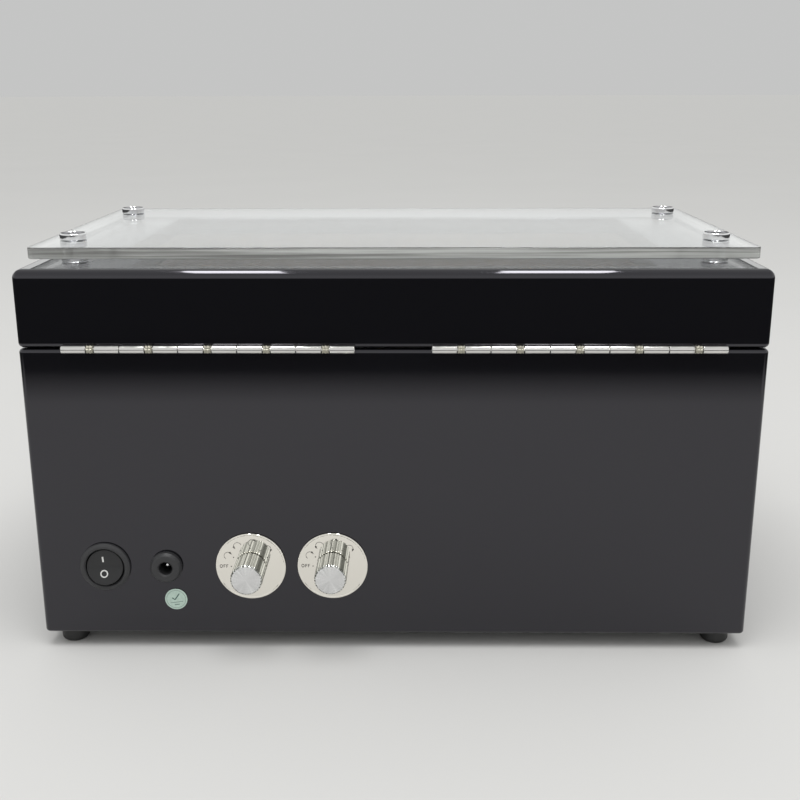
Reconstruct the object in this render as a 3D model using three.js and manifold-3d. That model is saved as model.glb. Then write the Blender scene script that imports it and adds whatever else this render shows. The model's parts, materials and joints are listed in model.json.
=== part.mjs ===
// Watch winder box: a lacquered case with a hinged, windowed lid, two tilted turntables that each carry two
// watch cushions, their belt drives, and the switches and socket on the back.
// Millimetres, +Z up. The back, with the hinges and controls, faces +Y. z = 0 is the surface it stands on.

import * as THREE from 'three';
import { mergeVertices } from 'three/addons/utils/BufferGeometryUtils.js';
import Module from 'manifold-3d';

const wasm = await Module();
wasm.setup();

// ---- driving dimensions -------------------------------------------------------------------------------

const GAP = 0.3; // kept between pieces that touch
const WIDTH = 325;
const DEPTH = 198;
const FOOT_HEIGHT = 7.6;
const FOOT = { radius: 6.35, tread: 4.4, round: 2.5, inset: 11 };
const PARTING_Z = 143.2; // middle of the slit between case and lid
const PARTING_SLIT = 0.4;
const LID_TOP = 177.4;
const WALL = 9;
const KNOB_REACH = 16.3; // how far a knob's face stands off the back

const BACK_Y = (DEPTH - KNOB_REACH) / 2; // the whole object, knobs included, is centred on y = 0
const FRONT_Y = BACK_Y - DEPTH;
const MIDDLE_Y = (BACK_Y + FRONT_Y) / 2;
const CASE_TOP = PARTING_Z - PARTING_SLIT / 2;
const LID_BOTTOM = PARTING_Z + PARTING_SLIT / 2;

const BOTTOM_PANEL = { thick: 6, lip: 4 }; // let into a rebate under the walls
const CLEAT = 8; // square battens that the deck rests on
const LID_RAIL = { side: 40.5, end: 40 };
const WINDOW = { width: WIDTH - 2 * LID_RAIL.side, depth: DEPTH - 2 * LID_RAIL.end, corner: 3 };
const PLATE = { width: 320.8, depth: 166.8, thick: 5, lift: 2.3, corner: 3 };
const STANDOFF = { x: 147.3, y: 56.45, radius: 6, cap: 3, stud: 2, below: 7.5 };
const PLATE_Z = LID_TOP + PLATE.lift;

const HINGE = {
  starts: [142.8, -17.2], // each hinge runs from here towards -X
  units: 5,
  pitch: 25.4,
  knuckle: 10.6,
  collar: 3.0,
  space: 0.4,
  radius: 1.82,
  bore: 1.05,
  pin: 0.75,
  standOff: 1.6, // pin line outside the back face
  leafThick: 0.8,
  leafReach: 9.6, // pin line to the hidden edge of a leaf
};
HINGE.length = HINGE.units * HINGE.pitch - HINGE.space;

// The slope that the turntables lie in, and where it stands in the case.
const TILT = THREE.MathUtils.degToRad(35);
const SLOPE = { y: -5, z: 92, half: 65, thick: 6 };
const TABLE = { x: 64, radius: 59, depth: 38, clearance: 2, edge: 1.5, hub: 9 };
const POCKET = { x: 25, width: 45, length: 68, depth: 31, corner: 10 };
const CUSHION = { width: 43.4, length: 66.4, above: 20.5, below: 30.5, corner: 9 };
const AXLE = { radius: 4, top: -33, bottom: -66 };
const PULLEY = { top: -41.5, thick: 8, driven: 21, motor: 7, flange: 3, rim: 1.6 };
const BELT = { wide: 4, thick: 1.5 };
const CHASSIS = { face: -56, thick: 2, half: 34, leg: 135, foot: 12, window: 12, windowX: 104 };
const MOTOR = {
  distance: 45, // from the turntable's axle
  angle: THREE.MathUtils.degToRad(16),
  gearbox: 12.5,
  can: 10,
  boss: 3.4,
  shaft: 1.5,
};
const BEARING = { body: 8, flange: 11, collar: 6.5, below: 8 };

// Controls: x and z on the back face.
const ROCKER = {
  x: 131.6,
  z: 41.1,
  lean: THREE.MathUtils.degToRad(4.5),
  bezel: 11.5,
  opening: 8.8,
  throw: 20,
  neck: 10.3, // hole in the wall's outer skin
  recess: 13.5, // wider hole from inside, for the snap-in body
  skin: 3,
};
const JACK = { x: 103.6, z: 41.2, bezel: 7.25, barrel: 5.5, bore: 3.05, front: 3.6 };
const MODE_SWITCHES = [
  { name: 'left', x: 64.9, z: 41.6 },
  { name: 'right', x: 27.6, z: 41.9 },
];
const MODE_SWITCH = { bushing: 4.4, half: 10, depth: 13, tag: 4 };
const DIAL = { radius: 16, thick: 0.8 };
const KNOB = { radius: 7.2, flutes: 28, fluteDepth: 0.35, back: 1.6, bevel: 0.9 };
const SHAFT = { radius: 3, inner: -14.7, outer: 11.7 };
const STICKER = { x: 100.1, z: 24.9, radius: 5.15, thick: 0.2 };

// ---- finishes -----------------------------------------------------------------------------------------

const FINISH = {
  lacquer: { color: 0x0b0b0d, roughness: 0.08, metalness: 0 },
  board: { color: 0x1c1b1b, roughness: 0.8, metalness: 0 },
  lining: { color: 0xb9ad9b, roughness: 0.9, metalness: 0 },
  leatherette: { color: 0xd8ccb8, roughness: 0.6, metalness: 0 },
  acrylic: { color: 0xe8eef0, roughness: 0.03, metalness: 0, transparent: true, opacity: 0.3 },
  chrome: { color: 0xd9dadb, roughness: 0.08, metalness: 1 },
  aluminium: { color: 0xcdc9c0, roughness: 0.3, metalness: 1 },
  steel: { color: 0x9b9c9e, roughness: 0.4, metalness: 1 },
  brass: { color: 0xb08d4a, roughness: 0.35, metalness: 1 },
  blackPlastic: { color: 0x121213, roughness: 0.35, metalness: 0 },
  whitePlastic: { color: 0xd6d5d0, roughness: 0.5, metalness: 0 },
  rubber: { color: 0x0e0e0e, roughness: 0.7, metalness: 0 },
  circuit: { color: 0x1f5a36, roughness: 0.5, metalness: 0 },
  paper: { color: 0xc9dcc3, roughness: 0.6, metalness: 0 },
};

function piece(name, solid, finish) {
  const mesh = new THREE.Mesh(toGeometry(solid), new THREE.MeshStandardMaterial(FINISH[finish]));
  mesh.name = name;
  return mesh;
}

// ---- solids -------------------------------------------------------------------------------------------

function toSolid(geometry) {
  const bare = geometry.index ? geometry.toNonIndexed() : geometry;
  bare.deleteAttribute('normal');
  bare.deleteAttribute('uv');
  const merged = mergeVertices(bare, 1e-4);
  const mesh = new wasm.Mesh({
    numProp: 3,
    vertProperties: new Float32Array(merged.attributes.position.array),
    triVerts: new Uint32Array(merged.index.array),
  });
  return new wasm.Manifold(mesh);
}

function toGeometry(solid) {
  const mesh = solid.getMesh();
  const geometry = new THREE.BufferGeometry();
  geometry.setAttribute('position', new THREE.BufferAttribute(new Float32Array(mesh.vertProperties), 3));
  geometry.setIndex(new THREE.BufferAttribute(new Uint32Array(mesh.triVerts), 1));
  geometry.computeVertexNormals();
  return geometry;
}

const joined = (first, ...others) => others.reduce((whole, other) => whole.add(other), first);
const cut = (first, ...others) => others.reduce((whole, other) => whole.subtract(other), first);

/** A box given by its [low, high] along each axis. */
function block([x0, x1], [y0, y1], [z0, z1]) {
  const geometry = new THREE.BoxGeometry(x1 - x0, y1 - y0, z1 - z0);
  geometry.translate((x0 + x1) / 2, (y0 + y1) / 2, (z0 + z1) / 2);
  return toSolid(geometry);
}

/** A cylinder along z, from z0 to z1. */
function rod(radius, [z0, z1], at = [0, 0], sides = 24) {
  const geometry = new THREE.CylinderGeometry(radius, radius, z1 - z0, sides);
  geometry.rotateX(Math.PI / 2);
  geometry.translate(at[0], at[1], (z0 + z1) / 2);
  return toSolid(geometry);
}

/** A cylinder along x, on the line y = z = 0. */
function rodAlongX(radius, [x0, x1], sides = 12) {
  const geometry = new THREE.CylinderGeometry(radius, radius, x1 - x0, sides);
  geometry.rotateZ(Math.PI / 2);
  geometry.translate((x0 + x1) / 2, 0, 0);
  return toSolid(geometry);
}

/** [radius, z] points turned about z. */
function turned(profile, sides = 28) {
  const geometry = new THREE.LatheGeometry(profile.map(([r, z]) => new THREE.Vector2(r, z)), sides);
  geometry.rotateX(Math.PI / 2);
  return toSolid(geometry);
}

/** Points of an arc as [radius, z] pairs, angles in degrees from the radial direction. */
function arc(centre, radius, from, to, steps = 3) {
  return Array.from({ length: steps + 1 }, (_, i) => {
    const angle = THREE.MathUtils.degToRad(from + ((to - from) * i) / steps);
    return [centre[0] + radius * Math.cos(angle), centre[1] + radius * Math.sin(angle)];
  });
}

/** A rectangle about (cx, cy) whose corners at the low and high side of y have their own radii. */
function roundedRectangle(width, height, lowRadius, highRadius, [cx, cy] = [0, 0]) {
  const [x0, x1, y0, y1] = [cx - width / 2, cx + width / 2, cy - height / 2, cy + height / 2];
  const shape = new THREE.Shape();
  shape.moveTo(x0 + lowRadius, y0);
  shape.lineTo(x1 - lowRadius, y0);
  shape.absarc(x1 - lowRadius, y0 + lowRadius, lowRadius, -Math.PI / 2, 0);
  shape.lineTo(x1, y1 - highRadius);
  shape.absarc(x1 - highRadius, y1 - highRadius, highRadius, 0, Math.PI / 2);
  shape.lineTo(x0 + highRadius, y1);
  shape.absarc(x0 + highRadius, y1 - highRadius, highRadius, Math.PI / 2, Math.PI);
  shape.lineTo(x0, y0 + lowRadius);
  shape.absarc(x0 + lowRadius, y0 + lowRadius, lowRadius, Math.PI, Math.PI * 1.5);
  return shape;
}

function extruded(shape, [z0, z1], curveSegments = 4) {
  const geometry = new THREE.ExtrudeGeometry(shape, { depth: z1 - z0, bevelEnabled: false, curveSegments });
  geometry.translate(0, 0, z0);
  return toSolid(geometry);
}

/** An outline in y and z, extruded along x. */
function extrudedAlongX(shape, [x0, x1], curveSegments = 3) {
  const geometry = new THREE.ExtrudeGeometry(shape, { depth: x1 - x0, bevelEnabled: false, curveSegments });
  const toX = new THREE.Matrix4().makeBasis(
    new THREE.Vector3(0, 1, 0),
    new THREE.Vector3(0, 0, 1),
    new THREE.Vector3(1, 0, 0),
  );
  geometry.translate(0, 0, x0);
  geometry.applyMatrix4(toX);
  return toSolid(geometry);
}

/** A block about (0, cy) whose upright, top and bottom edges each have their own radius. */
function softBlock({ width, depth, low, high, corner, top, bottom, cy = 0 }) {
  const middle = (low + high) / 2;
  const plan = extruded(roundedRectangle(width, depth, corner, corner, [0, cy]), [low, high]);
  const side = roundedRectangle(depth, high - low, bottom, top, [cy, middle]);
  const front = new THREE.ExtrudeGeometry(roundedRectangle(width, high - low, bottom, top, [0, middle]), {
    depth,
    bevelEnabled: false,
    curveSegments: 3,
  });
  front.rotateX(Math.PI / 2); // outline y to z, and its depth to -y
  front.translate(0, cy + depth / 2, 0);
  return plan.intersect(extrudedAlongX(side, [-width / 2, width / 2])).intersect(toSolid(front));
}

/** A regular prism along z, such as a hexagon nut. */
function prism(sides, radius, [z0, z1]) {
  return rod(radius, [z0, z1], [0, 0], sides);
}

// ---- placing ------------------------------------------------------------------------------------------

/** A frame on the back face: local x to the right and y up as one looks at the back, z out of it. */
function onBack({ x, z }, lean = 0) {
  const group = new THREE.Group();
  group.position.set(x, BACK_Y, z);
  group.rotation.set(-Math.PI / 2, 0, Math.PI);
  const inner = new THREE.Group();
  inner.rotation.z = lean;
  group.add(inner);
  return { group, inner };
}

/** The tilted frame of the slope, shifted along x: local z comes out of the slope. */
function onSlope(x) {
  const group = new THREE.Group();
  group.position.set(x, SLOPE.y, SLOPE.z);
  group.rotation.x = TILT;
  return group;
}

// ---- case ---------------------------------------------------------------------------------------------

/** The shallow seats that the hinge leaves lie in, from z0 to z1. */
function hingeSeats(z0, z1) {
  return HINGE.starts.map((start) =>
    block(
      [start - HINGE.length - GAP, start + GAP],
      [BACK_Y + HINGE.standOff - HINGE.leafReach - GAP, BACK_Y + 5],
      [z0, z1],
    ),
  );
}

/** A hole through the back wall, made in the back face's own frame. */
function backHole(place, radius, [z0, z1]) {
  const hole = new THREE.CylinderGeometry(radius, radius, z1 - z0, 24);
  hole.translate(0, BACK_Y + (z0 + z1) / 2, 0);
  hole.translate(place.x, 0, place.z);
  return toSolid(hole);
}

function baseShell() {
  const outer = softBlock({
    width: WIDTH,
    depth: DEPTH,
    low: FOOT_HEIGHT,
    high: CASE_TOP,
    corner: 2.5,
    top: 2,
    bottom: 1.5,
    cy: MIDDLE_Y,
  });
  const rebateTop = FOOT_HEIGHT + BOTTOM_PANEL.thick + GAP;
  const inX = WIDTH / 2 - WALL;
  const inside = block([-inX, inX], [FRONT_Y + WALL, BACK_Y - WALL], [rebateTop - 1, CASE_TOP + 5]);
  const lip = WALL - BOTTOM_PANEL.lip;
  const rebate = block(
    [-WIDTH / 2 + lip, WIDTH / 2 - lip],
    [FRONT_Y + lip, BACK_Y - lip],
    [FOOT_HEIGHT - 5, rebateTop],
  );
  const cleats = [
    [-1, [FRONT_Y + WALL - 1, FRONT_Y + WALL + CLEAT]],
    [1, [BACK_Y - WALL - CLEAT, BACK_Y - WALL + 1]],
  ].map(([end, depth]) => {
    const top = slopeCorner(end).z - SLOPE.thick - GAP;
    return block([-inX - 1, inX + 1], depth, [top - CLEAT, top]);
  });
  const through = [-WALL - 1, 1];
  const switchHoles = [
    backHole(ROCKER, ROCKER.neck, through),
    backHole(ROCKER, ROCKER.recess, [through[0], -ROCKER.skin]),
    backHole(JACK, JACK.barrel + GAP, through),
    ...MODE_SWITCHES.map((place) => backHole(place, MODE_SWITCH.bushing + GAP, through)),
  ];
  const hollow = joined(cut(outer, inside, rebate), ...cleats);
  return cut(hollow, ...switchHoles, ...hingeSeats(CASE_TOP - HINGE.leafThick - GAP, CASE_TOP + 5));
}

/** Where the slope's face meets the front ledge (-1) or the back shelf (+1). */
function slopeCorner(end) {
  return {
    y: SLOPE.y + end * SLOPE.half * Math.cos(TILT),
    z: SLOPE.z + end * SLOPE.half * Math.sin(TILT),
  };
}

/** The lined deck: a front ledge, the slope with its two round openings, and a back shelf. */
function turntableDeck() {
  const front = slopeCorner(-1);
  const back = slopeCorner(1);
  const frontEdge = FRONT_Y + WALL + GAP;
  const backEdge = BACK_Y - WALL - GAP;
  const mitre = SLOPE.thick * Math.tan(TILT / 2);
  const outline = new THREE.Shape(
    [
      [frontEdge, front.z],
      [frontEdge, front.z - SLOPE.thick],
      [front.y + mitre, front.z - SLOPE.thick],
      [back.y + mitre, back.z - SLOPE.thick],
      [backEdge, back.z - SLOPE.thick],
      [backEdge, back.z],
      [back.y, back.z],
      [front.y, front.z],
    ].map(([y, z]) => new THREE.Vector2(y, z)),
  );
  const half = WIDTH / 2 - WALL - GAP;
  const holes = [-1, 1].map((side) => {
    const opening = TABLE.radius + TABLE.clearance;
    const hole = new THREE.CylinderGeometry(opening, opening, 40, 48);
    hole.rotateX(Math.PI / 2 + TILT);
    hole.translate(side * TABLE.x, SLOPE.y, SLOPE.z);
    return toSolid(hole);
  });
  return cut(extrudedAlongX(outline, [-half, half]), ...holes);
}

function bottomPanel() {
  const lip = WALL - BOTTOM_PANEL.lip + GAP;
  return block(
    [-WIDTH / 2 + lip, WIDTH / 2 - lip],
    [FRONT_Y + lip, BACK_Y - lip],
    [FOOT_HEIGHT, FOOT_HEIGHT + BOTTOM_PANEL.thick],
  );
}

/** A stick-on rubber bumper with a flat tread. */
function foot() {
  const top = FOOT_HEIGHT - GAP;
  const { radius, tread, round } = FOOT;
  const side = arc([radius - round, round], round, -70, 0);
  return turned([[0, 0], [tread, 0], ...side, [radius, top - 0.5], [radius - 0.45, top], [0, top]], 16);
}

function controlBoard() {
  const floor = FOOT_HEIGHT + BOTTOM_PANEL.thick + GAP;
  const board = block([-115, -45], [30, 75], [20, 21.6]);
  const posts = [-111, -49].flatMap((x) => [34, 71].map((y) => rod(2.5, [floor, 20.5], [x, y], 8)));
  const parts = [
    block([-100, -84], [40, 48], [21, 24]), // controller
    block([-112, -104], [50, 66], [21, 29]), // supply socket
    block([-76, -62], [34, 40], [21, 28]), // motor leads' socket
    rod(4, [21, 31], [-55, 62], 12), // capacitor
  ];
  return joined(board, ...posts, ...parts);
}

// ---- lid ----------------------------------------------------------------------------------------------

function lidShell() {
  const outer = softBlock({
    width: WIDTH,
    depth: DEPTH,
    low: LID_BOTTOM,
    high: LID_TOP,
    corner: 2.5,
    top: 4,
    bottom: 2,
    cy: MIDDLE_Y,
  });
  const inX = WIDTH / 2 - WALL;
  const cavity = block([-inX, inX], [FRONT_Y + WALL, BACK_Y - WALL], [LID_BOTTOM - 5, LID_TOP - WALL]);
  const window = extruded(
    roundedRectangle(WINDOW.width, WINDOW.depth, WINDOW.corner, WINDOW.corner, [0, MIDDLE_Y]),
    [LID_TOP - WALL - 5, LID_TOP + 5],
  );
  const studHoles = standoffPlaces().map(({ x, y }) =>
    rod(STANDOFF.stud + GAP, [LID_TOP - STANDOFF.below - GAP, LID_TOP + 1], [x, y], 12),
  );
  const seats = hingeSeats(LID_BOTTOM - 5, LID_BOTTOM + HINGE.leafThick + GAP);
  return cut(outer, cavity, window, ...studHoles, ...seats);
}

function standoffPlaces() {
  const sides = [['back', 1], ['front', -1]];
  return sides.flatMap(([end, dy]) =>
    [['left', 1], ['right', -1]].map(([side, dx]) => ({
      name: `${end}_${side}`,
      x: dx * STANDOFF.x,
      y: MIDDLE_Y + dy * STANDOFF.y,
    })),
  );
}

function acrylicPlate() {
  const plate = softBlock({
    width: PLATE.width,
    depth: PLATE.depth,
    low: PLATE_Z,
    high: PLATE_Z + PLATE.thick,
    corner: PLATE.corner,
    top: 0.5,
    bottom: 0.5,
    cy: MIDDLE_Y,
  });
  const holes = standoffPlaces().map(({ x, y }) =>
    rod(STANDOFF.stud + GAP, [PLATE_Z - 1, PLATE_Z + PLATE.thick + 1], [x, y], 12),
  );
  return cut(plate, ...holes);
}

/** A disc cap with its threaded stud. z = 0 is the lid's top. */
function standoffCap() {
  const low = PLATE.lift + PLATE.thick + GAP;
  const high = low + STANDOFF.cap;
  const r = STANDOFF.radius;
  return turned(
    [
      [0, -STANDOFF.below],
      [STANDOFF.stud, -STANDOFF.below],
      [STANDOFF.stud, low],
      [r - 0.3, low],
      [r, low + 0.3],
      ...arc([r - 0.8, high - 0.8], 0.8, 0, 90, 2),
      [0, high],
    ],
    20,
  );
}

function standoffSpacer() {
  const [low, high] = [GAP, PLATE.lift - GAP];
  const ring = rod(STANDOFF.radius, [low, high], [0, 0], 20);
  return cut(ring, rod(STANDOFF.stud + GAP, [low - 1, high + 1], [0, 0], 12));
}

// ---- hinges, along -X from their first knuckle, with the pin on the local x axis ------------------------

/** The [low, high] x spans of the lid's knuckles, the pin's collars and the case's knuckles. */
function hingeSpans() {
  const starts = Array.from({ length: HINGE.units }, (_, i) => -i * HINGE.pitch);
  const span = (offset, length) => starts.map((x) => [x - offset - length, x - offset]);
  return {
    lid: span(0, HINGE.knuckle),
    collar: span(HINGE.knuckle + HINGE.space, HINGE.collar),
    base: span(HINGE.knuckle + HINGE.collar + 2 * HINGE.space, HINGE.knuckle),
  };
}

/** One leaf: side +1 for the lid's, which lies just above the parting plane, and -1 for the case's. */
function hingeLeaf(side, spans) {
  const near = (side * PARTING_SLIT) / 2;
  const far = near + side * HINGE.leafThick;
  const heights = [Math.min(near, far), Math.max(near, far)];
  const flat = block([-HINGE.length, 0], [-HINGE.leafReach, -HINGE.radius - 0.5], heights);
  const curls = spans.flatMap((span) => [
    rodAlongX(HINGE.radius, span),
    block(span, [-HINGE.leafReach + 1, -0.3], heights),
  ]);
  const bores = spans.map(([x0, x1]) => rodAlongX(HINGE.bore, [x0 - 0.1, x1 + 0.1]));
  return cut(joined(flat, ...curls), ...bores);
}

/** The pin with the crimped collars that space the knuckles. */
function hingePin(spans) {
  const shaft = rodAlongX(HINGE.pin, [-HINGE.length, 0], 8);
  return joined(shaft, ...spans.map((span) => rodAlongX(HINGE.radius - 0.05, span)));
}

function hinge(name, start) {
  const spans = hingeSpans();
  const group = new THREE.Group();
  group.position.set(start, BACK_Y + HINGE.standOff, PARTING_Z);
  group.add(
    piece(`hinge_lid_leaf_${name}`, hingeLeaf(1, spans.lid), 'chrome'),
    piece(`hinge_base_leaf_${name}`, hingeLeaf(-1, spans.base), 'chrome'),
    piece(`hinge_pin_${name}`, hingePin(spans.collar), 'chrome'),
  );
  return group;
}

// ---- turntables and their drive, in the slope's frame ---------------------------------------------------

/** A drum, flush with the slope, with two pockets for cushions and a hub behind. */
function turntable() {
  const { radius, depth, edge, hub: hubRadius } = TABLE;
  const rim = arc([radius - edge, -edge], edge, 0, 90, 2);
  const drum = turned([[0, -depth], [radius, -depth], ...rim, [0, 0]], 48);
  const hub = rod(hubRadius, [PULLEY.top + 0.5, -depth + 1]);
  const pockets = [-1, 1].map((side) =>
    extruded(
      roundedRectangle(POCKET.width, POCKET.length, POCKET.corner, POCKET.corner, [side * POCKET.x, 0]),
      [-POCKET.depth, 5],
    ),
  );
  const bore = rod(AXLE.radius + GAP, [PULLEY.top - 5, AXLE.top + GAP], [0, 0], 16);
  return cut(drum.add(hub), ...pockets, bore);
}

function watchCushion() {
  return softBlock({
    width: CUSHION.width,
    depth: CUSHION.length,
    low: -CUSHION.below,
    high: CUSHION.above,
    corner: CUSHION.corner,
    top: 11,
    bottom: 4,
  });
}

/** A grooved pulley whose belt runs at the groove radius. */
function grooved(radius) {
  const top = PULLEY.top;
  const low = top - PULLEY.thick;
  const outer = radius + PULLEY.flange;
  return turned(
    [
      [0, low],
      [outer, low],
      [outer, low + PULLEY.rim],
      [radius, low + PULLEY.rim + 0.3],
      [radius, top - PULLEY.rim - 0.3],
      [outer, top - PULLEY.rim],
      [outer, top],
      [0, top],
    ],
    32,
  );
}

function drivenPulley() {
  const span = [PULLEY.top - PULLEY.thick - 1, PULLEY.top + 1];
  const windows = Array.from({ length: 5 }, (_, i) => {
    const angle = (i * 2 * Math.PI) / 5;
    return rod(4.5, span, [13 * Math.cos(angle), 13 * Math.sin(angle)], 12);
  });
  return cut(grooved(PULLEY.driven), rod(AXLE.radius + GAP, span, [0, 0], 16), ...windows);
}

/** The small pulley with the motor's output shaft. */
function motorPulley() {
  return grooved(PULLEY.motor).add(rod(MOTOR.shaft, [CHASSIS.face - 5, PULLEY.top - 1], [0, 0], 10));
}

/** A loop round both pulleys, from the driven one at the origin to the motor's at (distance, 0). */
function beltLoop(extra) {
  const big = PULLEY.driven + extra;
  const small = PULLEY.motor + extra;
  const lean = Math.acos((PULLEY.driven - PULLEY.motor) / MOTOR.distance);
  const path = new THREE.Path();
  path.moveTo(big * Math.cos(lean), big * Math.sin(lean));
  path.absarc(0, 0, big, lean, 2 * Math.PI - lean);
  path.absarc(MOTOR.distance, 0, small, -lean, lean);
  path.closePath();
  return path;
}

function driveBelt() {
  const outline = new THREE.Shape(beltLoop(GAP + BELT.thick).getPoints(10));
  outline.holes.push(new THREE.Path(beltLoop(GAP).getPoints(10)));
  const middle = PULLEY.top - PULLEY.thick / 2;
  return extruded(outline, [middle - BELT.wide / 2, middle + BELT.wide / 2]);
}

/** A gear motor behind the chassis plate, with its boss through it and two solder tags. */
function gearMotor() {
  const back = CHASSIS.face - CHASSIS.thick;
  const seat = back - GAP;
  const gearbox = rod(MOTOR.gearbox, [seat - 12, seat], [0, 0], 28);
  const can = rod(MOTOR.can, [seat - 30, seat - 11]);
  const boss = rod(MOTOR.boss, [back - 1, CHASSIS.face + 2], [0, 0], 14);
  const tags = [-4, 4].map((x) => block([x - 1, x + 1], [-0.3, 0.3], [seat - 34, seat - 29]));
  const bore = rod(MOTOR.shaft + GAP, [CHASSIS.face - 6, CHASSIS.face + 5], [0, 0], 10);
  return cut(joined(gearbox, can, boss, ...tags), bore);
}

/** A flanged bush that carries the turntable's axle. */
function axleBearing() {
  const face = CHASSIS.face + GAP;
  const bore = AXLE.radius + GAP;
  const { body, flange, collar, below } = BEARING;
  return turned(
    [
      [bore, face - below],
      [body, face - below],
      [body, face],
      [flange, face],
      [flange, face + 2],
      [collar, face + 2],
      [collar, face + 4],
      [bore, face + 4],
      [bore, face - below],
    ],
    24,
  );
}

/** Where a motor stands in its turntable's frame: towards the middle of the case, and up the slope. */
function motorPlace(side) {
  return [-side * MOTOR.distance * Math.cos(MOTOR.angle), MOTOR.distance * Math.sin(MOTOR.angle)];
}

/** A folded steel bridge under the slope that carries both drives. */
function driveChassis() {
  const { face, thick, half, leg, foot: reach } = CHASSIS;
  const footTop = -SLOPE.thick - GAP;
  const plate = block([-leg, leg], [-half, half], [face - thick, face]);
  const folds = [-1, 1].flatMap((side) => {
    const upright = [side * leg, side * (leg - thick)].sort((a, b) => a - b);
    const flange = [side * (leg - thick), side * (leg + reach)].sort((a, b) => a - b);
    return [
      block(upright, [-half, half], [face - thick, footTop]),
      block(flange, [-half, half], [footTop - thick, footTop]),
    ];
  });
  const span = [face - thick - 1, face + 1];
  const holes = [-1, 1].flatMap((side) => {
    const [mx, my] = motorPlace(side);
    return [
      rod(BEARING.body + GAP, span, [side * TABLE.x, 0]),
      rod(MOTOR.boss + GAP, span, [side * TABLE.x + mx, my], 16),
      rod(CHASSIS.window, span, [side * CHASSIS.windowX, 0]),
    ];
  });
  return cut(joined(plate, ...folds), ...holes);
}

function turntableModule(name, side) {
  const module = onSlope(side * TABLE.x);
  module.add(
    piece(`turntable_${name}`, turntable(), 'lining'),
    piece(`turntable_axle_${name}`, rod(AXLE.radius, [AXLE.bottom, AXLE.top], [0, 0], 16), 'steel'),
    piece(`driven_pulley_${name}`, drivenPulley(), 'whitePlastic'),
    piece(`axle_bearing_${name}`, axleBearing(), 'brass'),
  );
  for (const [place, dx] of [['outer', side], ['inner', -side]]) {
    const cushion = piece(`watch_cushion_${name}_${place}`, watchCushion(), 'leatherette');
    cushion.position.x = dx * POCKET.x;
    module.add(cushion);
  }
  const [mx, my] = motorPlace(side);
  const belt = piece(`drive_belt_${name}`, driveBelt(), 'rubber');
  belt.rotation.z = Math.atan2(my, mx);
  module.add(belt);
  for (const [part, solid, finish] of [
    ['gear_motor', gearMotor(), 'steel'],
    ['motor_pulley', motorPulley(), 'whitePlastic'],
  ]) {
    const mesh = piece(`${part}_${name}`, solid, finish);
    mesh.position.set(mx, my, 0);
    module.add(mesh);
  }
  return module;
}

// ---- controls, in the back face's frame -----------------------------------------------------------------

/** The round switch: a raised bezel, a cup for the paddle, and a body with three blades behind. */
function rockerBody() {
  const cup = ROCKER.opening;
  const shell = turned(
    [
      [0, -18],
      [9.9, -18],
      [9.9, GAP],
      [ROCKER.bezel, GAP],
      [ROCKER.bezel, 1.2],
      ...arc([ROCKER.bezel - 1, 1.2], 1, 20, 90, 3),
      [cup + 0.5, 2.2],
      [cup, 1.6],
      [cup, -9],
      [0, -9],
    ],
    32,
  );
  const blades = [-6, 0, 6].map((y) => block([-2.4, 2.4], [y - 0.4, y + 0.4], [-26, -17]));
  return joined(shell, ...blades);
}

/** The paddle, a ball cut to a shallow valley, drawn level about its pivot at z = 0. */
function rockerPaddle() {
  const ball = toSolid(new THREE.SphereGeometry(8.5, 28, 14));
  const valley = new THREE.Shape(
    [[-9, -5], [9, -5], [9, 3.0], [0, 1.6], [-9, 3.0]].map(([y, z]) => new THREE.Vector2(y, z)),
  );
  return ball.intersect(extrudedAlongX(valley, [-10, 10]));
}

function rockerSwitch() {
  const { group, inner } = onBack(ROCKER, ROCKER.lean);
  const paddle = piece('rocker_paddle', rockerPaddle(), 'blackPlastic');
  paddle.position.z = 0.5;
  paddle.rotation.x = THREE.MathUtils.degToRad(-ROCKER.throw / 2); // upper half pressed in at rest
  inner.add(piece('rocker_switch_body', rockerBody(), 'blackPlastic'), paddle);
  return group;
}

/** The supply socket: domed bezel, threaded barrel, and the contact pin standing in its bore. */
function dcJack() {
  const { bezel, barrel, bore, front } = JACK;
  return turned(
    [
      [0, -20],
      [barrel, -20],
      [barrel, GAP],
      [bezel, GAP],
      [bezel, 1],
      ...arc([bezel - 2.4, 1], 2.4, 12, 78, 3),
      [bore + 0.5, front],
      [bore, front - 0.5],
      [bore, -12],
      [1, -12],
      [1, -1.6],
      [0.5, -1.1],
      [0, -1.1],
    ],
    24,
  );
}

function jackNut() {
  const span = [-WALL - GAP - 3, -WALL - GAP];
  return cut(prism(6, 9, span), rod(JACK.barrel + GAP, [span[0] - 1, span[1] + 1]));
}

function dialPlate() {
  const r = DIAL.radius;
  const top = GAP + DIAL.thick;
  return cut(
    turned([[0, GAP], [r, GAP], [r, top - 0.3], [r - 0.3, top], [0, top]], 40),
    rod(SHAFT.radius + GAP + 0.1, [-1, 3], [0, 0], 16),
  );
}

/** A rotary switch behind the wall, its bushing through it. */
function modeSwitch() {
  const { bushing: bushingRadius, half, depth, tag } = MODE_SWITCH;
  const face = -WALL - GAP;
  const back = face - depth;
  const body = block([-half, half], [-half, half], [back, face]);
  const bushing = rod(bushingRadius, [face - 1, -GAP], [0, 0], 20);
  const tags = [-6, 0, 6].map((x) => block([x - 0.8, x + 0.8], [-8.4, -8], [back - tag, back + 1]));
  const bore = rod(SHAFT.radius + GAP, [SHAFT.inner - GAP, 1], [0, 0], 16);
  return cut(joined(body, bushing, ...tags), bore);
}

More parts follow.
